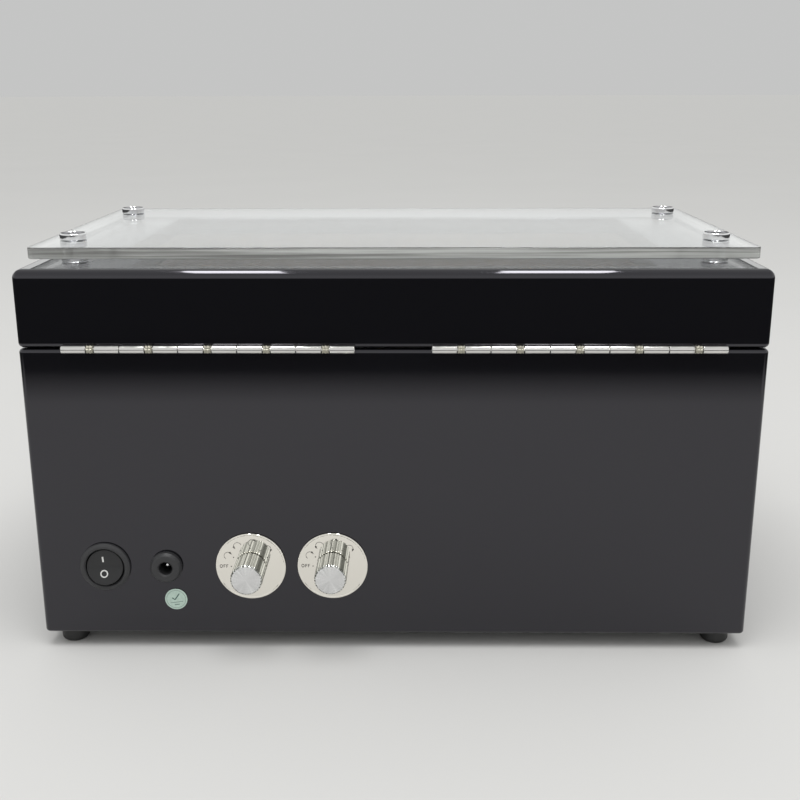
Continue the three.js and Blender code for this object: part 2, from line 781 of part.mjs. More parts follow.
/** A fluted knob with a bevelled face. */
function modeKnob() {
  const { radius, flutes, fluteDepth, back, bevel } = KNOB;
  const outline = new THREE.Shape(
    Array.from({ length: 2 * flutes }, (_, i) => {
      const r = radius - (i % 2) * fluteDepth;
      const angle = (i * Math.PI) / flutes;
      return new THREE.Vector2(r * Math.cos(angle), r * Math.sin(angle));
    }),
  );
  const limits = turned(
    [
      [0, back],
      [radius, back],
      [radius, KNOB_REACH - bevel],
      [radius - bevel, KNOB_REACH],
      [0, KNOB_REACH],
    ],
    56,
  );
  const bore = rod(SHAFT.radius + GAP, [back - 1, SHAFT.outer + GAP], [0, 0], 16);
  return cut(extruded(outline, [back, KNOB_REACH]).intersect(limits), bore);
}

function modeControl(place) {
  const { group, inner } = onBack(place);
  const shaft = rod(SHAFT.radius, [SHAFT.inner, SHAFT.outer], [0, 0], 16);
  inner.add(
    piece(`dial_plate_${place.name}`, dialPlate(), 'aluminium'),
    piece(`mode_switch_${place.name}`, modeSwitch(), 'blackPlastic'),
    piece(`mode_shaft_${place.name}`, shaft, 'steel'),
    piece(`mode_knob_${place.name}`, modeKnob(), 'aluminium'),
  );
  return group;
}

function supplySocket() {
  const { group, inner } = onBack(JACK);
  inner.add(piece('dc_jack', dcJack(), 'blackPlastic'), piece('jack_nut', jackNut(), 'steel'));
  return group;
}

function inspectionSticker() {
  const { group, inner } = onBack(STICKER);
  const disc = rod(STICKER.radius, [GAP, GAP + STICKER.thick], [0, 0], 32);
  inner.add(piece('inspection_sticker', disc, 'paper'));
  return group;
}

// ---- assembly -------------------------------------------------------------------------------------------

const winder = new THREE.Group();
winder.name = 'watch_winder_box';

winder.add(
  piece('base_shell', baseShell(), 'lacquer'),
  piece('bottom_panel', bottomPanel(), 'board'),
  piece('turntable_deck', turntableDeck(), 'lining'),
  piece('control_board', controlBoard(), 'circuit'),
  piece('lid_shell', lidShell(), 'lacquer'),
  piece('acrylic_plate', acrylicPlate(), 'acrylic'),
);

for (const [end, y] of [['back', BACK_Y - FOOT.inset], ['front', FRONT_Y + FOOT.inset]]) {
  for (const [side, x] of [['left', WIDTH / 2 - FOOT.inset], ['right', FOOT.inset - WIDTH / 2]]) {
    const mesh = piece(`foot_${end}_${side}`, foot(), 'rubber');
    mesh.position.set(x, y, 0);
    winder.add(mesh);
  }
}

for (const place of standoffPlaces()) {
  const cap = piece(`standoff_cap_${place.name}`, standoffCap(), 'chrome');
  const spacer = piece(`standoff_spacer_${place.name}`, standoffSpacer(), 'chrome');
  for (const mesh of [cap, spacer]) {
    mesh.position.set(place.x, place.y, LID_TOP);
    winder.add(mesh);
  }
}

winder.add(hinge('left', HINGE.starts[0]), hinge('right', HINGE.starts[1]));

const chassis = onSlope(0);
chassis.add(piece('drive_chassis', driveChassis(), 'steel'));
winder.add(chassis, turntableModule('left', 1), turntableModule('right', -1));

winder.add(rockerSwitch(), supplySocket(), inspectionSticker(), ...MODE_SWITCHES.map(modeControl));

export default winder;
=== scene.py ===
# %% [markdown]
# # A watch winder box
# A winder is a lacquered case with a windowed lid. Two tilted turntables inside carry the watches on
# cushions, and the switches are on the back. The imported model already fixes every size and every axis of
# motion, so this lesson dresses it: each cell takes one piece, makes its surface with numpy, and gives it a
# finish from shader nodes.

# %% Load the frame
import json
import math

import bmesh
import bpy
import numpy as np
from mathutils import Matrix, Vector
from mathutils.bvhtree import BVHTree


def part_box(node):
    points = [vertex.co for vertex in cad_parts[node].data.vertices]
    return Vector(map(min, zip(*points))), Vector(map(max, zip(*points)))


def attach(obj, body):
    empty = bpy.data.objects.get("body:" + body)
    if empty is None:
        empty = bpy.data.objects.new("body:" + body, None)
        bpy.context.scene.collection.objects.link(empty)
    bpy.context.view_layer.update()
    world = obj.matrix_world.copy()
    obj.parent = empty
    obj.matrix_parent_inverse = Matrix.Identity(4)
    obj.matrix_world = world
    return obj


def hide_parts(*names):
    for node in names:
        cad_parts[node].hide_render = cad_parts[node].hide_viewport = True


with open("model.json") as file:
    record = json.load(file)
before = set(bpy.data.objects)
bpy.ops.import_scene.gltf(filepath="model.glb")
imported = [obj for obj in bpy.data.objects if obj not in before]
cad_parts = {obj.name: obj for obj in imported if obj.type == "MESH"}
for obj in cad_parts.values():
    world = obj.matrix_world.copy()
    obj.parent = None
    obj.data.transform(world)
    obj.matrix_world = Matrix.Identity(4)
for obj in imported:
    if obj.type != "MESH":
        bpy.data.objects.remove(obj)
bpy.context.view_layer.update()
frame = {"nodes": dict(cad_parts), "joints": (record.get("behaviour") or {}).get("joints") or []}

# %% [markdown]
# ## Working units and places
# The frame is in metres, but a maker thinks in millimetres, so shapes are drawn in millimetres in a place's
# own x, y and z and then carried into the frame. A place is an origin and three directions. The back face,
# the slope that holds the turntables, and the hinges each have one. Their origins come from the packed
# nodes and joints, so nothing is typed twice.

# %% Places
MM = 0.001
X_AXIS, Y_AXIS, Z_AXIS = np.eye(3)
SIDES = ("left", "right")


def low_high(node):
    """A node's lowest and highest corner, in millimetres."""
    low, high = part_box(node)
    return np.array(low) / MM, np.array(high) / MM


def centre_of(node):
    low, high = low_high(node)
    return (low + high) / 2


def joint(name):
    return next(j for j in frame["joints"] if j["name"] == name)


def place(origin, x_axis, y_axis):
    """An origin in millimetres with its three directions; z is x cross y."""
    return np.array(origin, float), np.stack([x_axis, y_axis, np.cross(x_axis, y_axis)])


case_low, case_high = low_high("base_shell")
lid_low, lid_high = low_high("lid_shell")
WORLD = place((0, 0, 0), X_AXIS, Y_AXIS)
BACK_Y, FRONT_Y = case_high[1], case_low[1]
MIDDLE_Y = (BACK_Y + FRONT_Y) / 2


def on_back(node, lean=0.0):
    """A place on the back face at a node's centre: seen from behind, x is right, y is up and z is outwards."""
    at = centre_of(node)
    right, up = -X_AXIS, Z_AXIS
    c, s = math.cos(lean), math.sin(lean)
    return place((at[0], BACK_Y, at[2]), c * right + s * up, c * up - s * right)


def on_slope(side):
    """A turntable's place: x along the case, y up the slope, z out of it along the spindle."""
    spin = joint(f"turntable_spin_{side}")
    out = np.array(spin["axis"], float)
    return place(np.array(spin["pos_m"]) / MM, X_AXIS, np.cross(out, X_AXIS))


slope_normal = on_slope("left")[1][2]
print("the slope leans back", round(math.degrees(math.acos(slope_normal[2])), 1), "degrees")

# %% [markdown]
# ## From a grid of points to a piece
# Almost every surface here is a grid: rows of points carried along something, joined row to row. One helper
# makes the faces of such a grid, another turns the points into an object. Blender's primitives would do for
# a plain cylinder, but a grid gives the exact profile, and the same few lines serve a knob, a foot and a
# case.

# %% Grids, meshes and pieces
scene = bpy.context.scene


def grid_faces(rows, columns, around=True, along=False, start=0):
    """Quads between the points of a rows by columns grid, closed around the columns or along the rows."""
    row, column = np.meshgrid(
        np.arange(rows if along else rows - 1), np.arange(columns if around else columns - 1), indexing="ij"
    )
    next_row, next_column = (row + 1) % rows, (column + 1) % columns
    corners = [row * columns + column, row * columns + next_column]
    corners += [next_row * columns + next_column, next_row * columns + column]
    return (np.stack(corners, -1).reshape(-1, 4) + start).tolist()


def linked(name, data):
    """A new object that holds a mesh, a lamp or a camera, put in the scene."""
    obj = bpy.data.objects.new(name, data)
    scene.collection.objects.link(obj)
    return obj


def rows_of(collection, attribute):
    """A three-number attribute of every vertex or face, as an array with a row for each."""
    values = np.empty(3 * len(collection))
    collection.foreach_get(attribute, values)
    return values.reshape(-1, 3)


def carried(points, where):
    """Local millimetres to the frame's metres: the origin plus each coordinate along its own direction."""
    origin, axes = where
    return ((np.asarray(points, float).reshape(-1, 3) @ axes) + origin) * MM


def clean_up(mesh, outwards=True):
    """Welds doubled points, closes poles and turns the faces outwards."""
    bm = bmesh.new()
    bm.from_mesh(mesh)
    bmesh.ops.remove_doubles(bm, verts=bm.verts, dist=2e-7)
    bmesh.ops.dissolve_degenerate(bm, edges=bm.edges, dist=1e-8)
    if outwards:
        bmesh.ops.recalc_face_normals(bm, faces=bm.faces)
    bm.to_mesh(mesh)
    bm.free()


def smooth(obj, sharp_above=35, weighted=True):
    """Smooth shading with true edges kept, and flat faces that keep their own normals."""
    obj.data.shade_smooth()
    obj.data.set_sharp_from_angle(angle=math.radians(sharp_above))
    if weighted:
        modifier = obj.modifiers.new("weighted", "WEIGHTED_NORMAL")
        modifier.keep_sharp = True
    return obj


def new_object(name, points, faces, where=WORLD, face_finish=None):
    mesh = bpy.data.meshes.new(name)
    mesh.from_pydata(carried(points, where).tolist(), [], faces)
    if face_finish is not None:
        mesh.polygons.foreach_set("material_index", np.asarray(face_finish, np.int32))
    clean_up(mesh)
    return linked(name, mesh)


def finish_piece(obj, body, finishes, replaces=(), sharp_above=35, weighted=True):
    """The last step for every piece: finishes, shading, the body it rides on and the nodes it stands for."""
    for material in finishes if isinstance(finishes, (list, tuple)) else [finishes]:
        obj.data.materials.append(material)
    smooth(obj, sharp_above, weighted)
    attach(obj, body)
    if replaces:
        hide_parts(*replaces)
    return obj


def settle(obj):
    """Applies every modifier, so that the mesh holds the final shape."""
    bpy.context.view_layer.update()
    evaluated = obj.evaluated_get(bpy.context.evaluated_depsgraph_get())
    mesh = bpy.data.meshes.new_from_object(evaluated)
    old = obj.data
    obj.modifiers.clear()
    obj.data = mesh
    bpy.data.meshes.remove(old)
    return obj


def carve(obj, cutters):
    """Cuts the cutters out of obj and removes them."""
    for cutter in cutters:
        modifier = obj.modifiers.new("carve", "BOOLEAN")
        modifier.operation = "DIFFERENCE"
        modifier.solver = "EXACT"
        modifier.object = cutter
    settle(obj)
    for cutter in cutters:
        mesh = cutter.data
        bpy.data.objects.remove(cutter)
        bpy.data.meshes.remove(mesh)
    clean_up(obj.data, outwards=False)
    return obj


# %% [markdown]
# ## Outlines with rounded corners
# No real edge is sharp. A profile is therefore given by its few corners, each with a radius, and a helper
# swaps every corner for an arc. That keeps the numbers readable, and the radius of each edge can be changed
# alone.

# %% Profiles
def filleted(corners, steps=6, closed=False):
    """Corners (x, y, radius) as an outline, each corner an arc that touches both of its sides."""
    corners = [tuple(c) + (0,) * (3 - len(c)) for c in corners]
    outline = []
    for i, (x, y, radius) in enumerate(corners):
        here = np.array([x, y], float)
        if radius <= 0 or (not closed and i in (0, len(corners) - 1)):
            outline.append(here[None])
            continue
        before = np.array(corners[i - 1][:2]) - here
        after = np.array(corners[(i + 1) % len(corners)][:2]) - here
        before, after = before / np.linalg.norm(before), after / np.linalg.norm(after)
        half = math.acos(np.clip(before @ after, -1, 1)) / 2
        middle = here + (before + after) / np.linalg.norm(before + after) * radius / math.sin(half)
        first = here + before * radius / math.tan(half) - middle
        last = here + after * radius / math.tan(half) - middle
        start = math.atan2(first[1], first[0])
        turn = math.atan2(first[0] * last[1] - first[1] * last[0], first @ last)
        angle = start + turn * np.linspace(0, 1, steps + 1)
        outline.append(middle + radius * np.stack([np.cos(angle), np.sin(angle)], -1))
    return np.concatenate(outline)


def turned(profile, sides=96):
    """Points (r cos a, r sin a, z) for each (r, z) of the profile and each angle a round the z axis."""
    angle = np.arange(sides) * (2 * math.pi / sides)
    r, z = np.asarray(profile, float).T[:, :, None]
    return np.stack([r * np.cos(angle), r * np.sin(angle), z + 0 * angle], -1)


def turned_object(name, profile, where, sides, closed=False):
    """A turned shape. An open profile starts and ends on the axis, and a closed one makes a ring or a tube."""
    return new_object(name, turned(profile, sides), grid_faces(len(profile), sides, along=closed), where)


def drill(radius, low, high, where, sides):
    """A round cutter along a place's z axis."""
    return turned_object("cutter", [(0, low), (radius, low), (radius, high), (0, high)], where, sides)


def ringed(half_x, half_y, profile, corner, steps=6, centre=(0, 0)):
    """For each (inset, z), a rectangle smaller by the inset, its corners arcs of radius corner(inset)."""
    inset, z = np.asarray(profile, float).T[:, :, None]
    radius = corner(inset)
    quadrant, angle = np.meshgrid(np.arange(4), np.linspace(0, math.pi / 2, steps + 1), indexing="ij")
    angle = (angle + quadrant * math.pi / 2).reshape(1, -1)
    sign_x = np.array([1, -1, -1, 1])[quadrant].reshape(1, -1)
    sign_y = np.array([1, 1, -1, -1])[quadrant].reshape(1, -1)
    x = centre[0] + sign_x * (half_x - inset - radius) + radius * np.cos(angle)
    y = centre[1] + sign_y * (half_y - inset - radius) + radius * np.sin(angle)
    return np.stack([x, y, z + 0 * x], -1)


def ringed_block(name, half_x, half_y, profile, corner, where=WORLD, steps=6, centre=(0, 0)):
    """A solid from such rings, with a flat face closing the first and the last."""
    points = ringed(half_x, half_y, profile, corner, steps, centre)
    rows, columns = points.shape[:2]
    faces = grid_faces(rows, columns)
    faces += [list(range(columns))[::-1], list(range((rows - 1) * columns, rows * columns))]
    return new_object(name, points, faces, where)


def extruded(name, outline, span, where=WORLD):
    """An outline in x and y carried along z from one end of the span to the other, with both ends closed."""
    outline = np.asarray(outline, float)
    count = len(outline)
    points = np.concatenate([np.column_stack([outline, np.full(count, z)]) for z in span])
    faces = grid_faces(2, count) + [list(range(count))[::-1], list(range(count, 2 * count))]
    return new_object(name, points, faces, where)


def box_object(name, low, high, where=WORLD):
    (x0, y0, z0), (x1, y1, z1) = low, high
    return extruded(name, [(x0, y0), (x1, y0), (x1, y1), (x0, y1)], (z0, z1), where)


def bevelled(obj, width, segments=2, angle=30):
    """Rounds every edge sharper than the angle, by a width in millimetres."""
    modifier = obj.modifiers.new("bevel", "BEVEL")
    modifier.width = width * MM
    modifier.segments = segments
    modifier.limit_method = "ANGLE"
    modifier.angle_limit = math.radians(angle)
    modifier.use_clamp_overlap = True
    return settle(obj)


square = [(0, 0, 1), (5, 0, 1), (5, 5, 1), (0, 5, 1)]
print("a filleted square has", len(filleted(square, closed=True)), "points")

# %% [markdown]
# ## Finishes
# Each finish is a function that builds a small node tree on a Principled shader. A flat colour looks like
# plastic whatever its shade, so every finish also varies its roughness and its surface at the scale that
# the real one does: orange peel in lacquer, turning marks on a knob, grain in leatherette. Patterns read
# Object coordinates, which are metres, so a scale of 1000 makes features of about a millimetre.

# %% Node helpers
def new_finish(name, colour, roughness=0.5, metallic=0.0, **sockets):
    material = bpy.data.materials.new(name)
    material.use_nodes = True
    shader = material.node_tree.nodes["Principled BSDF"]
    shader.inputs["Base Color"].default_value = (*colour, 1)
    shader.inputs["Roughness"].default_value = roughness
    shader.inputs["Metallic"].default_value = metallic
    for socket, value in sockets.items():
        shader.inputs[socket.replace("_", " ")].default_value = value
    return material, material.node_tree, shader


def coordinates(tree, scale=(1, 1, 1), centre=None):
    """The piece's Object coordinates, from a centre in millimetres, stretched by scale."""
    source = tree.nodes.new("ShaderNodeTexCoord")
    moved = tree.nodes.new("ShaderNodeVectorMath")
    moved.operation = "SUBTRACT"
    moved.inputs[1].default_value = tuple(np.array(centre if centre is not None else (0, 0, 0)) * MM)
    tree.links.new(source.outputs["Object"], moved.inputs[0])
    mapping = tree.nodes.new("ShaderNodeMapping")
    mapping.inputs["Scale"].default_value = scale
    tree.links.new(moved.outputs[0], mapping.inputs["Vector"])
    return mapping.outputs["Vector"]


def noise(tree, vector, scale, detail=3.0, roughness=0.55, distortion=0.0):
    node = tree.nodes.new("ShaderNodeTexNoise")
    node.inputs["Scale"].default_value = scale
    node.inputs["Detail"].default_value = detail
    node.inputs["Roughness"].default_value = roughness
    node.inputs["Distortion"].default_value = distortion
    tree.links.new(vector, node.inputs["Vector"])
    return node.outputs["Fac"]


def cell_edges(tree, vector, scale, randomness=1.0):
    """A field of cells, as the distance to the nearest edge between two of them."""
    node = tree.nodes.new("ShaderNodeTexVoronoi")
    node.feature = "DISTANCE_TO_EDGE"
    node.inputs["Scale"].default_value = scale
    node.inputs["Randomness"].default_value = randomness
    tree.links.new(vector, node.inputs["Vector"])
    return node.outputs["Distance"]


def spread(tree, value, low, high, from_low=0.0, from_high=1.0):
    """Maps a pattern from one range to another, held within it."""
    node = tree.nodes.new("ShaderNodeMapRange")
    for socket, number in zip(("From Min", "From Max", "To Min", "To Max"), (from_low, from_high, low, high)):
        node.inputs[socket].default_value = number
    tree.links.new(value, node.inputs["Value"])
    return node.outputs["Result"]


def maths(tree, operation, first, second=None):
    """A Math node; each input is another node's output or a number."""
    node = tree.nodes.new("ShaderNodeMath")
    node.operation = operation
    for socket, value in zip(node.inputs, (first, second)):
        if isinstance(value, (int, float)):
            socket.default_value = value
        elif value is not None:
            tree.links.new(value, socket)
    return node.outputs[0]


def blended(tree, factor, first, second):
    """A colour between two, by a pattern."""
    node = tree.nodes.new("ShaderNodeMix")
    node.data_type = "RGBA"
    colours = [socket for socket in node.inputs if socket.type == "RGBA"]
    for socket, colour in zip(colours, (first, second)):
        if hasattr(colour, "is_linked"):
            tree.links.new(colour, socket)
        else:
            socket.default_value = (*colour, 1)
    tree.links.new(factor, node.inputs["Factor"])
    return next(socket for socket in node.outputs if socket.type == "RGBA")


def tinted(tree, shader, pattern, dark, light, low=0.3, high=0.7):
    """Colours the surface from dark to light while the pattern rises from low to high."""
    tint = blended(tree, spread(tree, pattern, 0, 1, low, high), dark, light)
    tree.links.new(tint, shader.inputs["Base Color"])


def glossed(tree, shader, pattern, first, last, low=0.3, high=0.7):
    """Takes the roughness from first to last while the pattern rises from low to high."""
    tree.links.new(spread(tree, pattern, first, last, low, high), shader.inputs["Roughness"])


def dimmed(colour, share):
    return tuple(share * channel for channel in colour)


def mixed(tree, factor, first, second):
    """Sends a mix of two shaders to the material's surface."""
    mix = tree.nodes.new("ShaderNodeMixShader")
    for output, socket in zip((factor, first.outputs[0], second.outputs[0]), mix.inputs):
        tree.links.new(output, socket)
    tree.links.new(mix.outputs[0], tree.nodes["Material Output"].inputs["Surface"])


def bumped(tree, shader, height, strength, distance, before=None):
    """Raises the surface by a pattern; distance is the height in millimetres of its full range."""
    node = tree.nodes.new("ShaderNodeBump")
    node.inputs["Strength"].default_value = strength
    node.inputs["Distance"].default_value = distance * MM
    tree.links.new(height, node.inputs["Height"])
    if before is not None:
        tree.links.new(before, node.inputs["Normal"])
    tree.links.new(node.outputs["Normal"], shader.inputs["Normal"])
    return node.outputs["Normal"]


# %% [markdown]
# ### Piano lacquer
# Many coats of black polyester, sanded and buffed. It could be a plain glossy black, but real lacquer has a
# faint long wave from sanding, and hair-thin swirls that only blur the brightest reflections. Both stay
# very small, or the case would look like plastic.

# %% Lacquer, boards, rubber and plastics
def lacquer():
    material, tree, shader = new_finish(
        "piano_lacquer", (0.0032, 0.0032, 0.0042), roughness=0.05, Coat_Weight=0.5, Coat_Roughness=0.03,
        Specular_Tint=(0.90, 0.87, 1.0, 1.0),
    )
    vector = coordinates(tree)
    swirl = noise(tree, coordinates(tree, (40, 40, 900)), 6.0, detail=5.0, distortion=0.6)
    glossed(tree, shader, swirl, 0.035, 0.085, 0.35, 0.75)
    wave = bumped(tree, shader, noise(tree, vector, 28.0, detail=1.0), 0.06, 0.25)
    bumped(tree, shader, noise(tree, vector, 700.0, detail=2.0), 0.02, 0.02, before=wave)
    return material


def painted_board():
    material, tree, shader = new_finish("painted_board", (0.02, 0.02, 0.02), roughness=0.75)
    fibres = noise(tree, coordinates(tree, (90, 90, 600)), 9.0, detail=6.0)
    tinted(tree, shader, fibres, (0.012, 0.012, 0.012), (0.035, 0.033, 0.031))
    bumped(tree, shader, fibres, 0.4, 0.15)
    return material


def rubber(name="foot_rubber", colour=(0.012, 0.012, 0.012), roughness=0.45):
    material, tree, shader = new_finish(name, colour, roughness=roughness)
    vector = coordinates(tree)
    cloud = noise(tree, vector, 500.0, detail=4.0)
    glossed(tree, shader, cloud, roughness - 0.1, roughness + 0.15)
    bumped(tree, shader, noise(tree, vector, 2600.0, detail=2.0), 0.25, 0.03)
    return material


def moulded(name, colour, roughness, grain=0.25, scale=3200.0):
    """Injection-moulded plastic: a fine spark-eroded grain and slow gloss changes."""
    material, tree, shader = new_finish(name, colour, roughness=roughness)
    vector = coordinates(tree)
    cloud = noise(tree, vector, 160.0, detail=3.0)
    glossed(tree, shader, cloud, roughness * 0.8, roughness * 1.25)
    bumped(tree, shader, noise(tree, vector, scale, detail=2.0), grain, 0.02)
    return material


# %% [markdown]
# ### Metals
# Chrome is a mirror with a slightly rippled plate under it. Spun aluminium has fine rings round its axis,
# which stretch a highlight into two fans; rings are drawn from the distance to the axis, so they need the
# knob's own centre, and the knob's face also has these fans painted into its colour as darker rays. The
# knob's grip has painted streaks of shade and highlight round its axis. Brushed sheet has straight
# scratches, which are noise stretched a hundredfold along one direction.

# %% Metals
def chrome(name="chrome", roughness=0.055, colour=(0.82, 0.82, 0.83)):
    material, tree, shader = new_finish(name, colour, roughness=roughness, metallic=1.0)
    vector = coordinates(tree)
    cloud = noise(tree, vector, 220.0, detail=4.0)
    glossed(tree, shader, cloud, roughness * 0.6, roughness * 1.9, high=0.75)
    bumped(tree, shader, noise(tree, vector, 420.0, detail=2.0), 0.12, 0.03)
    return material


def brushed(name, colour, roughness, along=(1, 1, 1), depth=0.012):
    """Sheet metal with straight scratches; along holds how fast the noise changes on each axis."""
    material, tree, shader = new_finish(name, colour, roughness=roughness, metallic=1.0)
    scratches = noise(tree, coordinates(tree, along), 1.0, detail=4.0, roughness=0.7)
    glossed(tree, shader, scratches, roughness * 0.7, roughness * 1.3)
    tinted(tree, shader, scratches, dimmed(colour, 0.88), colour)
    bumped(tree, shader, scratches, 0.35, depth)
    return material


def rays_from(tree, centre):
    """The unit direction away from an axis along y through centre; a pattern over it runs in rays."""
    unit = tree.nodes.new("ShaderNodeVectorMath")
    unit.operation = "NORMALIZE"
    tree.links.new(coordinates(tree, (1, 0, 1), centre), unit.inputs[0])
    return unit.outputs[0]


def painted_streak_metal(name, centre, dark=(0.11, 0.115, 0.10), light=(0.88, 0.89, 0.86), roughness=0.10):
    """Metal with painted dark and light streaks round an axis along y: painted shade and reflection on its
    flutes.
    """
    material, tree, shader = new_finish(name, light, roughness=roughness, metallic=1.0)
    # Painted shade and highlight: a pattern by the angle round the axis darkens some streaks and lightens
    # others.
    marks = noise(tree, rays_from(tree, centre), 9.0, detail=2.0)
    tinted(tree, shader, marks, dark, light, 0.43, 0.57)
    fine = noise(tree, coordinates(tree), 900.0, detail=3.0)
    glossed(tree, shader, fine, roughness * 0.6, roughness * 1.8)
    return material


def spun(name, centre, colour, roughness, rings, depth, rays=0.0):
    """Metal faced on a lathe: rings round an axis along y through centre, and painted darker rays of the given
    strength, a painted reflection of the fans that the rings make.
    """
    material, tree, shader = new_finish(name, colour, roughness=roughness, metallic=1.0)
    # Painted reflection: darker rays in the colour stand in for the fans that the rings stretch a highlight
    # into.
    painted_fan = noise(tree, rays_from(tree, centre), 3.5, detail=3.0)
    tinted(tree, shader, painted_fan, dimmed(colour, 1 - rays), colour, 0.35, 0.65)
    length = tree.nodes.new("ShaderNodeVectorMath")
    length.operation = "LENGTH"
    tree.links.new(coordinates(tree, (1, 0, 1), centre), length.inputs[0])
    line = tree.nodes.new("ShaderNodeCombineXYZ")
    tree.links.new(length.outputs["Value"], line.inputs["X"])
    marks = noise(tree, line.outputs[0], rings, detail=3.0, roughness=0.7)
    glossed(tree, shader, marks, roughness * 0.75, roughness * 1.25)
    bumped(tree, shader, marks, 0.5, depth)
    return material


# %% [markdown]
# ### Leatherette and lining
# The cushions are covered in a soft grained leatherette, and the deck in a short-piled microfibre. Grain is
# a field of cells with dark valleys between them. Pile is fine noise with a sheen, since its hairs catch
# light at a low angle, and with slow patches where it has been stroked.

# %% Soft finishes
def leatherette():
    material, tree, shader = new_finish("cream_leatherette", (0.60, 0.52, 0.41), Sheen_Weight=0.12)
    vector = coordinates(tree)
    cells = cell_edges(tree, vector, 900.0)
    valleys = spread(tree, cells, 0.0, 1.0, 0.0, 0.28)
    patches = noise(tree, vector, 45.0, detail=3.0)
    warm = blended(tree, spread(tree, patches, 0, 1, 0.35, 0.65), (0.55, 0.47, 0.365), (0.66, 0.58, 0.47))
    tree.links.new(blended(tree, valleys, (0.40, 0.335, 0.25), warm), shader.inputs["Base Color"])
    glossed(tree, shader, valleys, 0.68, 0.44, 0.0, 1.0)
    grain = bumped(tree, shader, valleys, 0.5, 0.12)
    bumped(tree, shader, noise(tree, vector, 2400.0, detail=2.0), 0.2, 0.03, before=grain)
    return material


def microfibre():
    dark, light = (0.30, 0.25, 0.19), (0.42, 0.36, 0.285)
    material, tree, shader = new_finish(
        "microfibre_lining", light, roughness=0.92, Sheen_Weight=0.45, Sheen_Roughness=0.45
    )
    vector = coordinates(tree)
    pile = noise(tree, vector, 2600.0, detail=3.0, roughness=0.7)
    stroked = noise(tree, vector, 22.0, detail=4.0, distortion=0.8)
    fine, slow = spread(tree, pile, 0, 0.55, 0.25, 0.75), spread(tree, stroked, 0, 0.45, 0.35, 0.65)
    shade = maths(tree, "ADD", fine, slow)
    tree.links.new(blended(tree, shade, dark, light), shader.inputs["Base Color"])
    bumped(tree, shader, pile, 0.7, 0.16)
    return material


# %% [markdown]
# ### Clear acrylic
# The plate is a polished sheet. Rendered as plain glass it would hold back the lamps, because a path tracer
# finds no straight way from the lining to a lamp through it. So the shader lets shadow rays pass, slightly
# dimmed, and shows true refraction to every other ray.

# %% Acrylic, paper, print and circuit board
def acrylic():
    material, tree, shader = new_finish(
        "clear_acrylic", (0.97, 0.985, 0.99), roughness=0.0, Transmission_Weight=1.0, IOR=1.49
    )
    rays = tree.nodes.new("ShaderNodeLightPath")
    passing = tree.nodes.new("ShaderNodeBsdfTransparent")
    passing.inputs["Color"].default_value = (0.9, 0.93, 0.93, 1)
    mixed(tree, rays.outputs["Is Shadow Ray"], shader, passing)
    glossed(tree, shader, noise(tree, coordinates(tree), 60.0, detail=5.0), 0.0, 0.03, 0.45, 0.8)
    return material


def cut_edge():
    """The sawn and polished edge of the sheet: less clear than its faces, with long lines from the blade."""
    material, tree, shader = new_finish(
        "acrylic_edge", (0.5, 0.5, 0.5), roughness=0.16, Transmission_Weight=0.35, IOR=1.49
    )
    lines = noise(tree, coordinates(tree, (9, 9, 850)), 1.0, detail=3.0, roughness=0.6)
    tinted(tree, shader, lines, (0.26, 0.26, 0.25), (0.66, 0.67, 0.65), 0.38, 0.62)
    return material


def printed(name, colour, roughness=0.5):
    """Ink or label stock: a little uneven in tone."""
    material, tree, shader = new_finish(name, colour, roughness=roughness)
    tinted(tree, shader, noise(tree, coordinates(tree), 900.0, detail=3.0), dimmed(colour, 0.85), colour)
    return material


def circuit_board():
    """Solder mask over copper tracks: a grid of cells gives the tracks their edges."""
    material, tree, shader = new_finish("circuit_board", (0.02, 0.14, 0.06), roughness=0.35, Coat_Weight=0.3)
    vector = coordinates(tree)
    tracks = cell_edges(tree, vector, 260.0, randomness=0.35)
    tinted(tree, shader, tracks, (0.05, 0.27, 0.11), (0.012, 0.11, 0.045), 0.04, 0.07)
    bumped(tree, shader, spread(tree, tracks, 1, 0, 0.04, 0.07), 0.4, 0.05)
    return material


LACQUER = lacquer()
BOARD = painted_board()
FOOT_RUBBER = rubber()
BELT_RUBBER = rubber("belt_rubber", (0.02, 0.02, 0.02), 0.6)
BLACK_NYLON = moulded("black_nylon", (0.013, 0.013, 0.014), 0.34)
SATIN_NYLON = moulded("satin_nylon", (0.028, 0.028, 0.030), 0.5, grain=0.4, scale=2200.0)
WHITE_ACETAL = moulded("white_acetal", (0.70, 0.69, 0.65), 0.42, grain=0.1)
CHROME = chrome()
NICKEL = chrome("nickel", 0.11, (0.70, 0.69, 0.67))
CRIMPED = brushed("crimped_steel", (0.52, 0.50, 0.42), 0.42, (900, 900, 900), 0.05)
ZINC_STEEL = brushed("zinc_steel", (0.58, 0.59, 0.61), 0.36, (60, 2500, 2500))
DARK_STEEL = brushed("dark_steel", (0.34, 0.34, 0.35), 0.32, (1500, 1500, 60))
SINTERED_BRASS = brushed("sintered_brass", (0.62, 0.45, 0.20), 0.42, (2200, 2200, 2200), 0.02)
LEATHERETTE = leatherette()
LINING = microfibre()
ACRYLIC = acrylic()
CUT_EDGE = cut_edge()
DARK_INK = printed("dark_ink", (0.09, 0.085, 0.075))
WHITE_INK = printed("white_ink", (0.66, 0.66, 0.64))
THREAD = printed("thread", (0.62, 0.55, 0.44), 0.6)
STICKER_STOCK = printed("sticker_stock", (0.49, 0.62, 0.545), 0.42)
STICKER_INK = printed("sticker_ink", (0.05, 0.11, 0.09), 0.45)
print(len(bpy.data.materials), "finishes, the packed model's own included")

# %% [markdown]
# ## The case
# The carcass is four walls with every outside edge rounded over before lacquering. One closed profile of
# the wall (up the outside, over the rim, down the lined inside, round the rebate for the bottom board) is
# carried round a rectangle. A cube with bevels would give the outside, but not a wall with its own rebate
# and lining.

